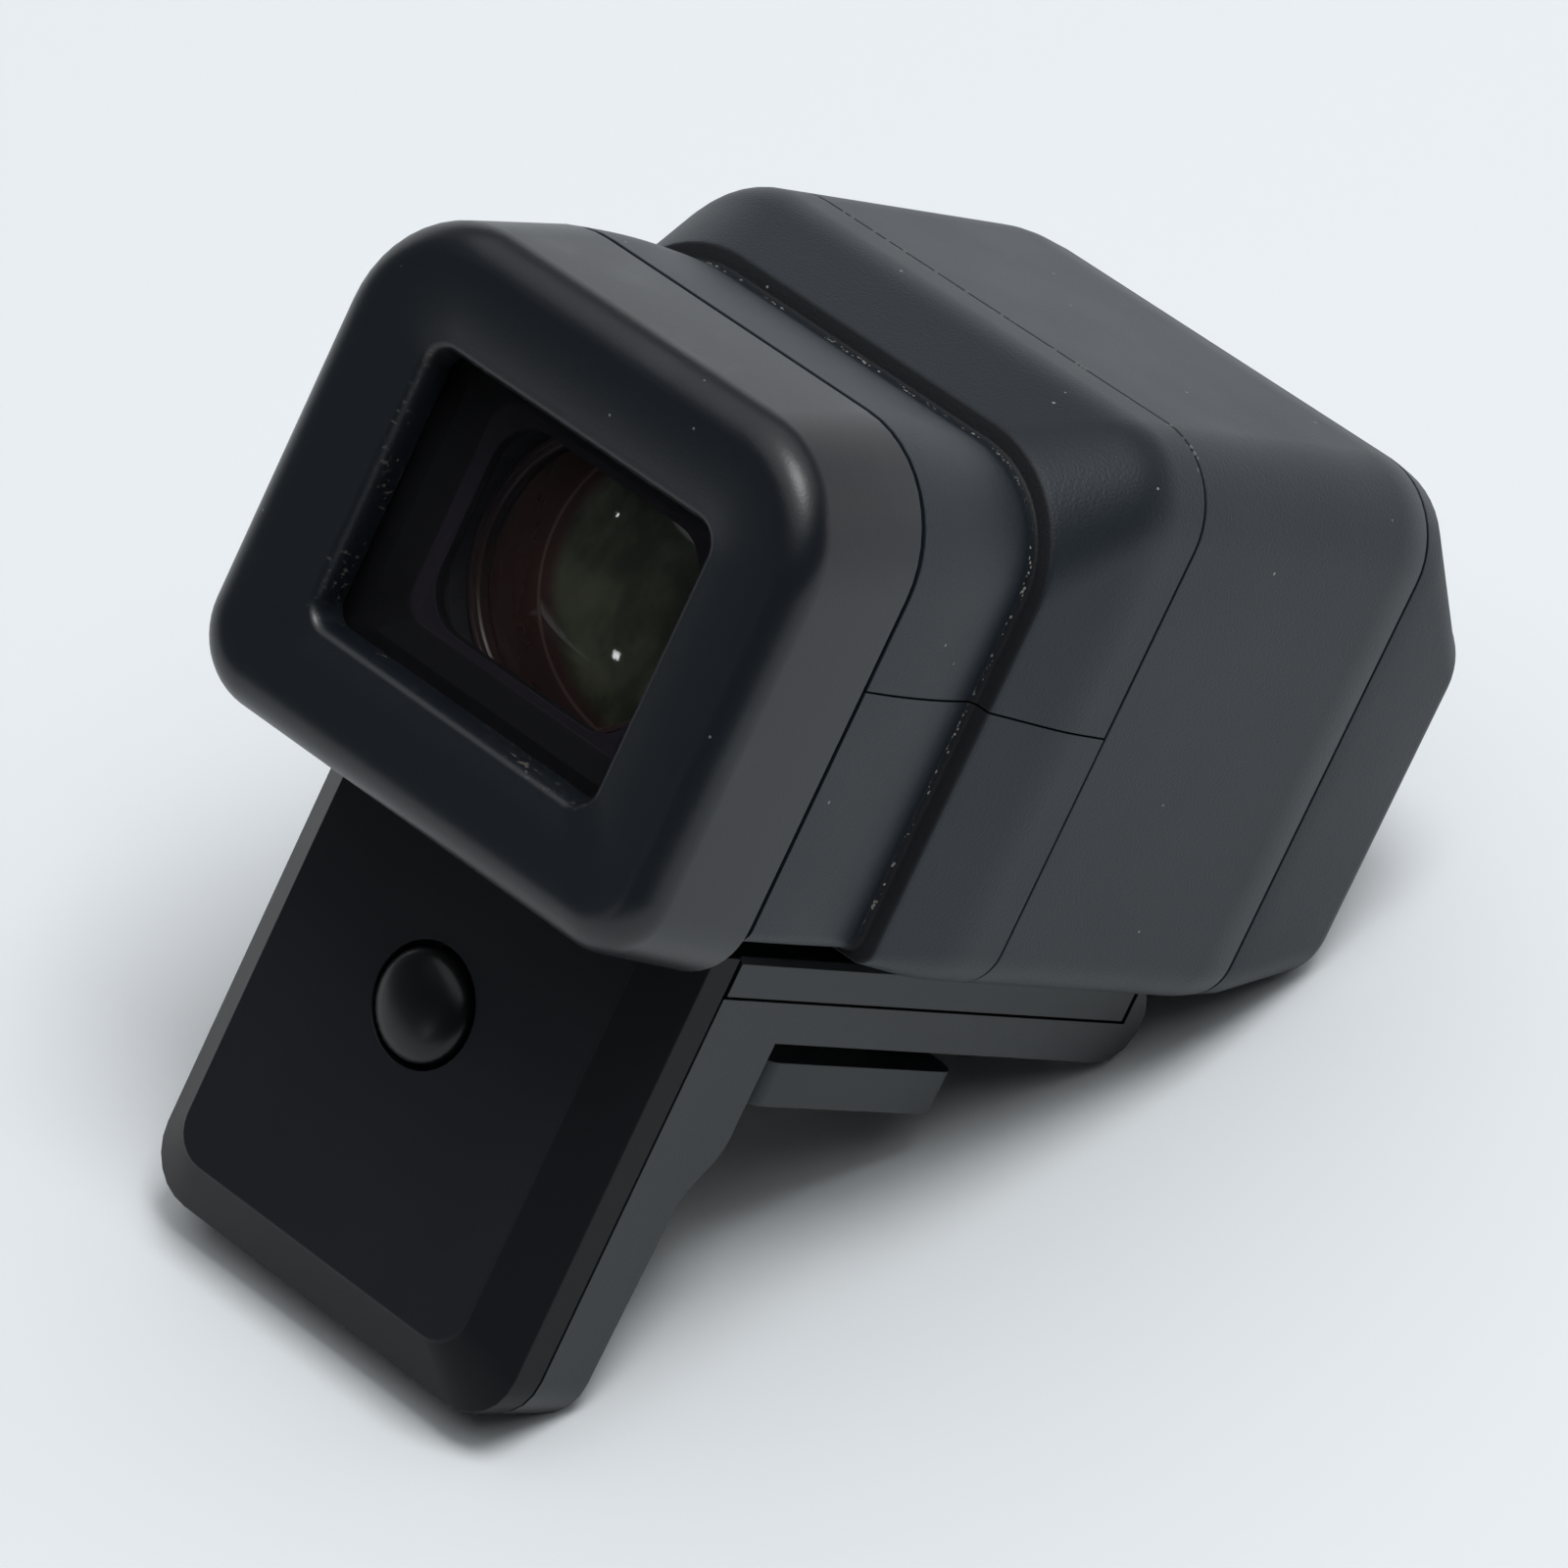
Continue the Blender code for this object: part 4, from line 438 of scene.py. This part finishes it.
def outline(bm, half_width, low, high, low_corner, high_corner):
    """A rounded rectangle standing across Y, as a loop of edges. Sizes are in millimetres."""
    verts = bmesh.ops.create_grid(bm, x_segments=1, y_segments=1, size=1.0)["verts"]
    middle, half_height = (low + high) / 2, (high - low) / 2
    stand = (Matrix.Translation((0.0, 0.0, middle)) @ Matrix.Rotation(math.radians(90), 4, "X")
             @ Matrix.Diagonal((half_width, half_height, 1.0, 1.0)))
    bmesh.ops.transform(bm, matrix=stand, verts=verts)
    lower = [vert for vert in verts if vert.co.z < middle]
    upper = [vert for vert in verts if vert not in lower]
    for corners, radius in ((lower, low_corner), (upper, high_corner)):
        bmesh.ops.bevel(bm, geom=corners, offset=radius, segments=CORNER_STEPS, profile=0.5,
                        affect="VERTICES", material=-1)
    bm.faces.ensure_lookup_table()
    face = bm.faces[-1]
    loop = list(face.edges)
    bm.faces.remove(face)
    return loop


def loft(rings, tube=False):
    """A skin over outlines in their order, closed at its ends, or on itself as a hollow wall.

    The outlines are joined while they stand well apart, and then moved to their places along Y."""
    bm = bmesh.new()
    loops = []
    for number, (_, *sizes) in enumerate(rings):
        loops.append(outline(bm, *sizes))
        verts = list({vert for edge in loops[-1] for vert in edge.verts})
        bmesh.ops.translate(bm, vec=(0.0, number * LOFT_SPACING, 0.0), verts=verts)
    pairs = list(zip(loops, loops[1:])) + ([(loops[-1], loops[0])] if tube else [])
    for first, second in pairs:
        bmesh.ops.bridge_loops(bm, edges=first + second)
    if not tube:
        for loop in (loops[0], loops[-1]):
            bmesh.ops.edgeloop_fill(bm, edges=loop)
    bmesh.ops.recalc_face_normals(bm, faces=bm.faces)
    for number, (along, *_) in enumerate(rings):
        verts = list({vert for edge in loops[number] for vert in edge.verts})
        bmesh.ops.translate(bm, vec=(0.0, along - number * LOFT_SPACING, 0.0), verts=verts)
    return settled(bm)


def settled(bm):
    """A closed shape drawn in millimetres, brought to metres with its faces outward."""
    bmesh.ops.scale(bm, vec=(MM, MM, MM), verts=bm.verts)
    if bm.calc_volume(signed=True) < 0:
        bmesh.ops.reverse_faces(bm, faces=bm.faces)
    return bm


def turned(profile):
    """Points (along, radius) in millimetres, spun about the eyepiece axis."""
    bm = bmesh.new()
    verts = [bm.verts.new((radius, along, AXIS_Z)) for along, radius in profile]
    edges = [bm.edges.new(pair) for pair in zip(verts, verts[1:])]
    bmesh.ops.spin(bm, geom=verts + edges, cent=(0.0, 0.0, AXIS_Z), axis=(0.0, 1.0, 0.0), angle=math.tau,
                   steps=SPIN_STEPS, use_merge=True)
    bmesh.ops.remove_doubles(bm, verts=bm.verts, dist=MERGE / MM)
    bmesh.ops.recalc_face_normals(bm, faces=bm.faces)
    return settled(bm)


def block(low, high):
    """A box between two corners in millimetres."""
    bm = bmesh.new()
    bmesh.ops.create_cube(bm, size=1.0)
    bmesh.ops.scale(bm, vec=[b - a for a, b in zip(low, high)], verts=bm.verts)
    bmesh.ops.translate(bm, vec=[(a + b) / 2 for a, b in zip(low, high)], verts=bm.verts)
    return settled(bm)


def carved(bm, cutter):
    """One closed shape taken out of another."""
    shapes = []
    for form in (bm, cutter):
        mesh = bpy.data.meshes.new("form")
        form.to_mesh(mesh)
        form.free()
        shapes.append(bpy.data.objects.new("form", mesh))
        bpy.context.scene.collection.objects.link(shapes[-1])
    cut = shapes[0].modifiers.new("cut", "BOOLEAN")
    cut.object = shapes[1]
    cut.solver = "EXACT"
    left = bmesh.new()
    left.from_object(shapes[0], bpy.context.evaluated_depsgraph_get())
    for shape in shapes:
        mesh = shape.data
        bpy.data.objects.remove(shape)
        bpy.data.meshes.remove(mesh)
    return left


def below(bm, point, normal):
    """The part of a shape behind a plane, with the cut closed. The point is in millimetres."""
    cut = bmesh.ops.bisect_plane(bm, geom=bm.verts[:] + bm.edges[:] + bm.faces[:],
                                 plane_co=Vector(point) * MM, plane_no=normal, clear_outer=True)
    rim = [item for item in cut["geom_cut"] if isinstance(item, bmesh.types.BMEdge)]
    bmesh.ops.holes_fill(bm, edges=rim, sides=0)
    return bm


def between(first, second, share):
    """Outline sizes part of the way from one to another."""
    return tuple(a + (b - a) * share for a, b in zip(first, second))


def shares(steps):
    """Even steps from 0 to 1."""
    return [step / steps for step in range(steps + 1)]


def quarter():
    """Pairs (sine, 1 - cosine) through a quarter turn."""
    return [(math.sin(share * math.pi / 2), 1 - math.cos(share * math.pi / 2))
            for share in shares(ROLL_STEPS)]


def centred(along, half_width, half_height, corner):
    """An outline centred on the eyepiece axis."""
    return (along, half_width, AXIS_Z - half_height, AXIS_Z + half_height, corner, corner)


def head_outline(along, inset=0.0, roll=0.0):
    """The head's main outline, drawn in by an inset and by its roll above and beside."""
    shrink = FRONT_ROLL * roll ** 2
    return (along, HEAD_HALF - shrink - inset, HEAD_LOW + inset, HEAD_HIGH - shrink - inset,
            HEAD_EDGE - inset, HEAD_CORNER - inset)


def neck_outline(along, drawn):
    """The coved neck's outline, full at the eyecup and fully drawn in at the waist."""
    sag = WAIST_SAG * (SAG_START + (1 - SAG_START) * drawn)
    return (along, NECK_HALF - WAIST_INSET * drawn, NECK_LOW - sag, NECK_HIGH - WAIST_DROP * drawn,
            NECK_EDGE, NECK_CORNER - WAIST_INSET * drawn)


def waist_outline(along, inset=0.0):
    """The neck's narrowest outline, drawn in all round."""
    _, half_width, low, high, low_corner, high_corner = neck_outline(along, 1.0)
    return (along, half_width - inset, low + inset, high - inset, low_corner, high_corner - inset)


def shoulder_outline(along, swell, inset=0.0):
    """An outline between the step above the waist and the head's full size."""
    rise = STEP_RISE - inset
    low_step = (along, NECK_HALF - WAIST_INSET + rise, STEP_LOW + inset, NECK_HIGH - WAIST_DROP + rise,
                NECK_EDGE, NECK_CORNER - WAIST_INSET + STEP_RISE)
    return between(low_step, head_outline(along), swell)


def shoulder_swell(share):
    """A straight flank that eases into the head's own direction at its end."""
    if share < FLANK_SHARE:
        return 2 * share / (1 + FLANK_SHARE)
    return 1 - (1 - share) ** 2 / (1 - FLANK_SHARE ** 2)


def rear_housing():
    """Coved neck, hollow groove and swelling shoulder, with the wall inside them."""
    groove_y = STEP_Y - GROOVE_WIDTH
    shoulder_y = STEP_Y + STEP_ROLL
    end = MAIN_Y - SEAM / 2
    rebate = end - LIP_REACH - SEAM
    rings = [neck_outline(NECK_Y + (groove_y - NECK_Y) * share, share ** 2)
             for share in shares(ROLL_STEPS)]
    for forward, out in quarter()[1:]:
        along = groove_y + GROOVE_WIDTH * forward
        rings.append(between(waist_outline(along), shoulder_outline(along, 0.0), GROOVE_SHARE * out))
    rings += [shoulder_outline(STEP_Y + STEP_ROLL * share ** 2, 0.0, STEP_ROLL * (1 - share))
              for share in STEP_ROLL_SHARES]
    rings += [shoulder_outline(shoulder_y + SHOULDER_LENGTH * share, shoulder_swell(share))
              for share in shares(2 * ROLL_STEPS)]
    rings += [head_outline(end), head_outline(end, LIP_INSET)]
    rings += [head_outline(rebate, LIP_INSET), head_outline(rebate, HEAD_WALL)]
    rings += [waist_outline(along, HEAD_WALL) for along in (STEP_Y + HEAD_WALL, NECK_Y)]
    return loft(rings, tube=True)


def rear_half(side):
    """The upper (side 1) or lower (side -1) half of the rear housing, split on a falling seam."""
    fall = Vector((0.0, MAIN_Y - NECK_Y, SPLIT_MAIN - SPLIT_REAR))
    normal = Vector((1.0, 0.0, 0.0)).cross(fall).normalized() * -side
    return below(rear_housing(), (0.0, NECK_Y, SPLIT_REAR + side * SPLIT_SEAM / 2), normal)


def dial_hole():
    """A round plug that opens the neck's left side for the dial."""
    bm = bmesh.new()
    bmesh.ops.create_cone(bm, cap_ends=True, segments=CIRCLE_STEPS, radius1=DIAL_HOLE, radius2=DIAL_HOLE,
                          depth=DIAL_HOLE_DEPTH)
    stand = Matrix.Translation((-NECK_HALF, DIAL_Y, DIAL_Z)) @ Matrix.Rotation(math.radians(90), 4, "Y")
    bmesh.ops.transform(bm, verts=bm.verts, matrix=stand)
    return settled(bm)


def main_housing():
    """The head's middle tube: a tongue behind, a rebate in front and a notch for the knuckle."""
    start, end = MAIN_Y + SEAM / 2, CAP_Y - SEAM / 2
    rebate = end - LIP_REACH - SEAM
    tip = start - SEAM - LIP_REACH
    rings = [head_outline(start)]
    rings += [head_outline(end - FRONT_ROLL_LENGTH * (1 - share), roll=share)
              for share in shares(ROLL_STEPS)]
    rings += [head_outline(end, LIP_INSET, 1.0), head_outline(rebate, LIP_INSET, 1.0)]
    rings += [head_outline(rebate, HEAD_WALL), head_outline(tip, HEAD_WALL)]
    rings += [head_outline(along, LIP_INSET + SEAM) for along in (tip, start)]
    notch = block((-KNUCKLE_HALF, KNUCKLE_START, NOTCH_LOW), (KNUCKLE_HALF, KNUCKLE_END, NOTCH_HIGH))
    return carved(loft(rings, tube=True), notch)


def nose_outline(along, share, inset=0.0):
    """An outline between the head's end and the blunt nose."""
    blunt = (along, NOSE_HALF - inset, NOSE_LOW + inset, NOSE_HIGH - inset, NOSE_CORNER, NOSE_CORNER)
    return between(head_outline(along, inset, 1.0), blunt, share)


def nose_cap():
    """Blunt nose with a sloping top and tapered sides, hollow behind, on a tongue."""
    start = CAP_Y + SEAM / 2
    slope_end = FRONT_Y - NOSE_ROUND
    tip = start - SEAM - LIP_REACH
    rest = 1 - NOSE_END_SHARE
    rings = [nose_outline(slope_end - CAP_WALL, NOSE_END_SHARE, CAP_WALL)]
    rings += [nose_outline(start, 0.0, CAP_WALL), head_outline(tip, CAP_WALL, 1.0)]
    rings += [head_outline(along, LIP_INSET + SEAM, 1.0) for along in (tip, start)]
    rings += [nose_outline(start, 0.0), nose_outline(start + NOSE_ROUND, NOSE_START_SHARE)]
    rings += [nose_outline(slope_end + NOSE_ROUND * turn, NOSE_END_SHARE + rest * turn, NOSE_ROUND * drawn)
              for turn, drawn in quarter()]
    notch = block((-KNUCKLE_HALF, tip - OVERCUT, HEAD_LOW), (KNUCKLE_HALF, start, TONGUE_NOTCH_HIGH))
    return carved(loft(rings), notch)


def cup_outline(along, inset=0.0):
    """The eyecup's outer outline, which draws in above and below towards the eye."""
    share = (along - CUP_REAR_Y) / (CUP_CREST_Y - CUP_REAR_Y)
    return (along, CUP_HALF + CUP_FLARE * share - inset, CUP_LOW + CUP_LOW_RISE * share + inset,
            CUP_HIGH - CUP_HIGH_DROP * share - inset, CUP_LOW_CORNER - inset, CUP_HIGH_CORNER - inset)


def opening_outline(along, grow):
    """The outline of the eyecup's opening, widened all round."""
    return centred(along, OPENING_HALF_WIDTH + grow, OPENING_HALF_HEIGHT + grow, OPENING_CORNER + grow)


def eyecup():
    """Soft frame: a rounded opening, a face that swells to a round crest, and the sides behind it."""
    edge_y = CUP_OPENING_Y - OPENING_ROLL_RISE
    lip_y = CUP_OPENING_Y + CUP_LIP
    rings = [opening_outline(lip_y, 0.0)]
    rings += [opening_outline(CUP_OPENING_Y - OPENING_ROLL_RISE * rise, OPENING_ROLL_WIDTH * out)
              for rise, out in quarter()]
    inner, crest = rings[-1], cup_outline(CUP_CREST_Y, CUP_ROLL)
    for share in shares(ROLL_STEPS)[1:]:
        _, *sizes = between(inner, crest, share)
        rings.append((edge_y + (CUP_CREST_Y - edge_y) * (1 - (1 - share) ** 2), *sizes))
    rings += [cup_outline(CUP_CREST_Y + CUP_ROLL * back, CUP_ROLL * (1 - out))
              for out, back in quarter()[1:]]
    rings += [cup_outline(CUP_REAR_Y - SEAM), cup_outline(CUP_REAR_Y, SEAM)]
    rings += [centred(along, *CUP_POCKET) for along in (CUP_REAR_Y, lip_y)]
    return loft(rings, tube=True)


def eye_lens():
    """Biconvex lens with a ground edge."""
    swell = [(LENS_BULGE * (1 - share ** 2), LENS_RADIUS * share) for share in shares(ROLL_STEPS)]
    rear = [(LENS_RIM_Y - depth, radius) for depth, radius in swell]
    front = [(LENS_RIM_Y + LENS_EDGE + depth, radius) for depth, radius in reversed(swell)]
    return turned(rear + front)


def lens_retainer():
    """Stepped ring that holds the lens in its carrier."""
    return turned([(RETAINER_BACK_Y - towards_eye, RETAINER_BORE + out)
                   for towards_eye, out in RETAINER_STEPS])


def merged(node):
    """A joined-up copy of a CAD node's mesh, as a bmesh."""
    bm = bmesh.new()
    bm.from_mesh(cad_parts[node].data)
    bmesh.ops.remove_doubles(bm, verts=bm.verts, dist=MERGE)
    bmesh.ops.dissolve_limit(bm, angle_limit=FLAT, verts=bm.verts, edges=bm.edges)
    return bm


def piece(name, bm, finish, body, nodes=(), edge=0.0, segments=2):
    """A finished piece that rides a body and stands for the given CAD nodes, its hard edges eased."""
    mesh = bpy.data.meshes.new(name)
    bm.to_mesh(mesh)
    bm.free()
    for carried_over in ("custom_normal", "sharp_face", "sharp_edge"):
        if carried_over in mesh.attributes:
            mesh.attributes.remove(mesh.attributes[carried_over])
    mesh.shade_smooth()
    mesh.set_sharp_from_angle(angle=CREASE)
    mesh.materials.clear()
    mesh.materials.append(finish)
    made = bpy.data.objects.new(name, mesh)
    bpy.context.scene.collection.objects.link(made)
    if edge:
        ease = made.modifiers.new("eased_edges", "BEVEL")
        ease.width = edge
        ease.segments = segments
        ease.limit_method = "ANGLE"
        ease.angle_limit = CREASE
        ease.use_clamp_overlap = True
        ease.harden_normals = True
    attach(made, body)
    if nodes:
        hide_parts(*nodes)
    return made


def housing(name, bm, finish, node):
    """A moulding of the head's shell."""
    return piece(name, bm, finish, "head", [node], SEAM_EDGE)


def dressed(name, node, finish, body, edge, segments=2):
    """A CAD node's form with its hard edges eased."""
    return piece(name, merged(node), finish, body, [node], edge, segments)


def repaint(node, finish):
    """Gives a CAD node that stays a finish of its own."""
    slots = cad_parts[node].data.materials
    slots.clear()
    slots.append(finish)


# Finishes that several pieces share
charcoal = housing_plastic("charcoal_housing", level=0.38)
nose_charcoal = housing_plastic("charcoal_nose", level=0.25)
rubber = eyecup_rubber()
satin = leg_plastic()
glossy = moulded("button_black", dark=(0.0035, 0.0035, 0.0045), light=(0.006, 0.006, 0.007),
                 roughness=0.3, grain_size=0.2 * MM, depth=0.0005 * MM, level=0.34)
bar_black = moulded("bar_black", dark=(0.009, 0.012, 0.0155), light=(0.0135, 0.017, 0.0215),
                    roughness=0.4, grain_size=0.15 * MM, depth=0.008 * MM, level=0.44)
plate_black = metal("plate_black", dark=(0.012, 0.0155, 0.0185), light=(0.017, 0.021, 0.0245),
                    roughness=0.38, metallic=0.2)
bright_steel = metal("bright_steel", dark=(0.42, 0.42, 0.43), light=(0.6, 0.6, 0.6), roughness=0.3)
dead_black = moulded("dead_black", dark=(0.0035, 0.0035, 0.004), light=(0.0065, 0.0065, 0.007),
                     roughness=0.75, grain_size=0.2 * MM, depth=0.008 * MM)
ring_brown = moulded("ring_brown", dark=(0.026, 0.012, 0.010), light=(0.036, 0.018, 0.014),
                     roughness=0.3, grain_size=0.2 * MM, depth=0.001 * MM)
green = circuit_board()
lens_coating = lens_glass()

# Head: housings, eyecup and lens remade from the solids' sizes
housing("housing_rear_upper", rear_half(1), charcoal, "rear_housing_upper")
housing("housing_rear_lower", carved(rear_half(-1), dial_hole()), charcoal, "rear_housing_lower")
housing("housing_main", main_housing(), charcoal, "main_housing")
housing("housing_nose", nose_cap(), nose_charcoal, "front_cap")
piece("eyecup_frame", eyecup(), rubber, "head", ["eyecup"], SEAM_EDGE)
piece("eyepiece_lens", eye_lens(), lens_coating, "carrier", ["eye_lens"], PLATE_EDGE)
piece("lens_retainer", lens_retainer(), ring_brown, "carrier", (), FINE_EDGE)

# The solids' own forms with eased edges
dressed("window_frame", "eyepiece_frame", frame_black(), "head", SEAM_EDGE)
dressed("dial_cap", "dioptre_dial", charcoal, "dial", THIN_EDGE)
dressed("leg_panel", "leg_front", satin, "base", BROAD_EDGE, segments=3)
dressed("base_body", "base_shell", bar_black, "base", BODY_EDGE)
dressed("base_cover", "base_plate", plate_black, "base", PLATE_EDGE)
dressed("foot_plate", "shoe_foot", plate_black, "base", BROAD_EDGE)
dressed("plug_shell", "plug_sleeve", bright_steel, "base", SLEEVE_EDGE)
dressed("button_cap", "push_button", glossy, "button", SEAM_EDGE)
dome = dressed("button_spring", "button_dome", rubber, "base", THIN_EDGE)
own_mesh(dome)

# CAD nodes that stay as they are, with finishes of their own
for node in ("plug_core", "lens_barrel", "display_holder", "display_flex"):
    repaint(node, dead_black)
for node in ("leg_board", "display_board", "main_board"):
    repaint(node, green)
for node in ("hinge_shaft", "hinge_washer_left", "hinge_washer_right", "dial_hub"):
    repaint(node, bright_steel)
for kind, count in (("foot", 4), ("leg", 2), ("bracket", 4)):
    for number in range(count):
        repaint(f"{kind}_screw_{number + 1}", bright_steel)
repaint("hinge_bracket", plate_black)
repaint("lens_carrier", ring_brown)
repaint("inner_lens", lens_coating)
repaint("eyepiece_window", window_glass())
repaint("display_panel", display_face())


def stage_piece(name, bm, finish):
    """A piece of the stage, drawn level about the origin and stood on the tilted floor."""
    tilt = Vector((0.0, 0.0, 1.0)).rotation_difference(FLOOR_UP).to_matrix().to_4x4()
    bmesh.ops.transform(bm, matrix=Matrix.Translation(FLOOR_POINT) @ tilt, verts=bm.verts)
    mesh = bpy.data.meshes.new(name)
    bm.to_mesh(mesh)
    bm.free()
    mesh.materials.append(finish)
    made = bpy.data.objects.new(name, mesh)
    bpy.context.scene.collection.objects.link(made)
    return made


def make_floor():
    """Pale matt floor, which the camera sees through from below."""
    finish = new_finish("pale_floor")
    matt = finish.node("ShaderNodeBsdfDiffuse", inputs={"Color": rgba(FLOOR_COLOUR)})
    clear = finish.node("ShaderNodeBsdfTransparent")
    from_below = finish.node("ShaderNodeNewGeometry", output="Backfacing")
    seen = finish.node("ShaderNodeLightPath", output="Is Camera Ray")
    mixed = finish.node("ShaderNodeMixShader", inputs={0: from_below * seen, 1: matt, 2: clear})
    finish.node("ShaderNodeOutputMaterial", inputs={"Surface": mixed})
    bm = bmesh.new()
    bmesh.ops.create_circle(bm, cap_ends=True, radius=FLOOR_RADIUS, segments=CIRCLE_STEPS)
    stage_piece("floor", bm, finish.owner)


def make_card(name, colour, bottom, top, start, turn):
    """An upright arc of dim card, unseen by the camera, which deepens the faces turned to it."""
    finish = new_finish(name)
    matt = finish.node("ShaderNodeBsdfDiffuse", inputs={"Color": rgba(colour)})
    finish.node("ShaderNodeOutputMaterial", inputs={"Surface": matt})
    bm = bmesh.new()
    foot = Vector((FLOOR_RADIUS * math.cos(start), FLOOR_RADIUS * math.sin(start), 0.0))
    upright = [bm.verts.new(foot + Vector((0.0, 0.0, level))) for level in (bottom, top)]
    bmesh.ops.spin(bm, geom=upright + [bm.edges.new(upright)], cent=(0.0, 0.0, 0.0), axis=(0.0, 0.0, 1.0),
                   angle=turn, steps=CARD_STEPS)
    card = stage_piece(name, bm, finish.owner)
    card.visible_camera = False


def make_lamp(name, direction, distance, side, power):
    """A square soft lamp aimed at the head from a direction in the object's axes."""
    data = bpy.data.lights.new(name, "AREA")
    data.shape = "SQUARE"
    data.size = side
    data.energy = power
    data.color = LAMP_COLOUR
    lamp = bpy.data.objects.new(name, data)
    bpy.context.scene.collection.objects.link(lamp)
    aim = Vector(direction).normalized()
    place = Vector((0.0, 0.0, AXIS_Z)) * MM + aim * distance
    lamp.matrix_world = Matrix.Translation(place) @ aim.to_track_quat("Z", "Y").to_matrix().to_4x4()


def make_world():
    """An even pale backdrop."""
    world = bpy.data.worlds.new("studio")
    bpy.context.scene.world = world
    finish = Finish(world)
    sky = finish.node("ShaderNodeBackground", inputs={"Color": rgba(BACKDROP_COLOUR), "Strength": 1.0})
    finish.node("ShaderNodeOutputWorld", inputs={"Surface": sky})


def make_camera():
    """A long lens at the photograph's place."""
    data = bpy.data.cameras.new("camera")
    data.lens = CAMERA_LENS
    data.sensor_width = CAMERA_SENSOR
    data.clip_start = CAMERA_NEAR
    data.clip_end = CAMERA_FAR
    camera = bpy.data.objects.new("camera", data)
    bpy.context.scene.collection.objects.link(camera)
    axes = Matrix((CAMERA_RIGHT, CAMERA_UP, CAMERA_BACK)).transposed().to_4x4()
    camera.matrix_world = Matrix.Translation(CAMERA_PLACE) @ axes
    bpy.context.scene.camera = camera


make_camera()
make_world()
make_floor()
make_card("left_card", *LEFT_CARD)
make_card("right_card", *RIGHT_CARD)
make_card("far_card", *FAR_CARD)
make_lamp("overhead_softbox", *SOFTBOX)
make_lamp("low_catch_light", *LOW_CATCH_LIGHT)
make_lamp("left_catch_light", *LEFT_CATCH_LIGHT)

bpy.context.scene.view_settings.view_transform = "Standard"
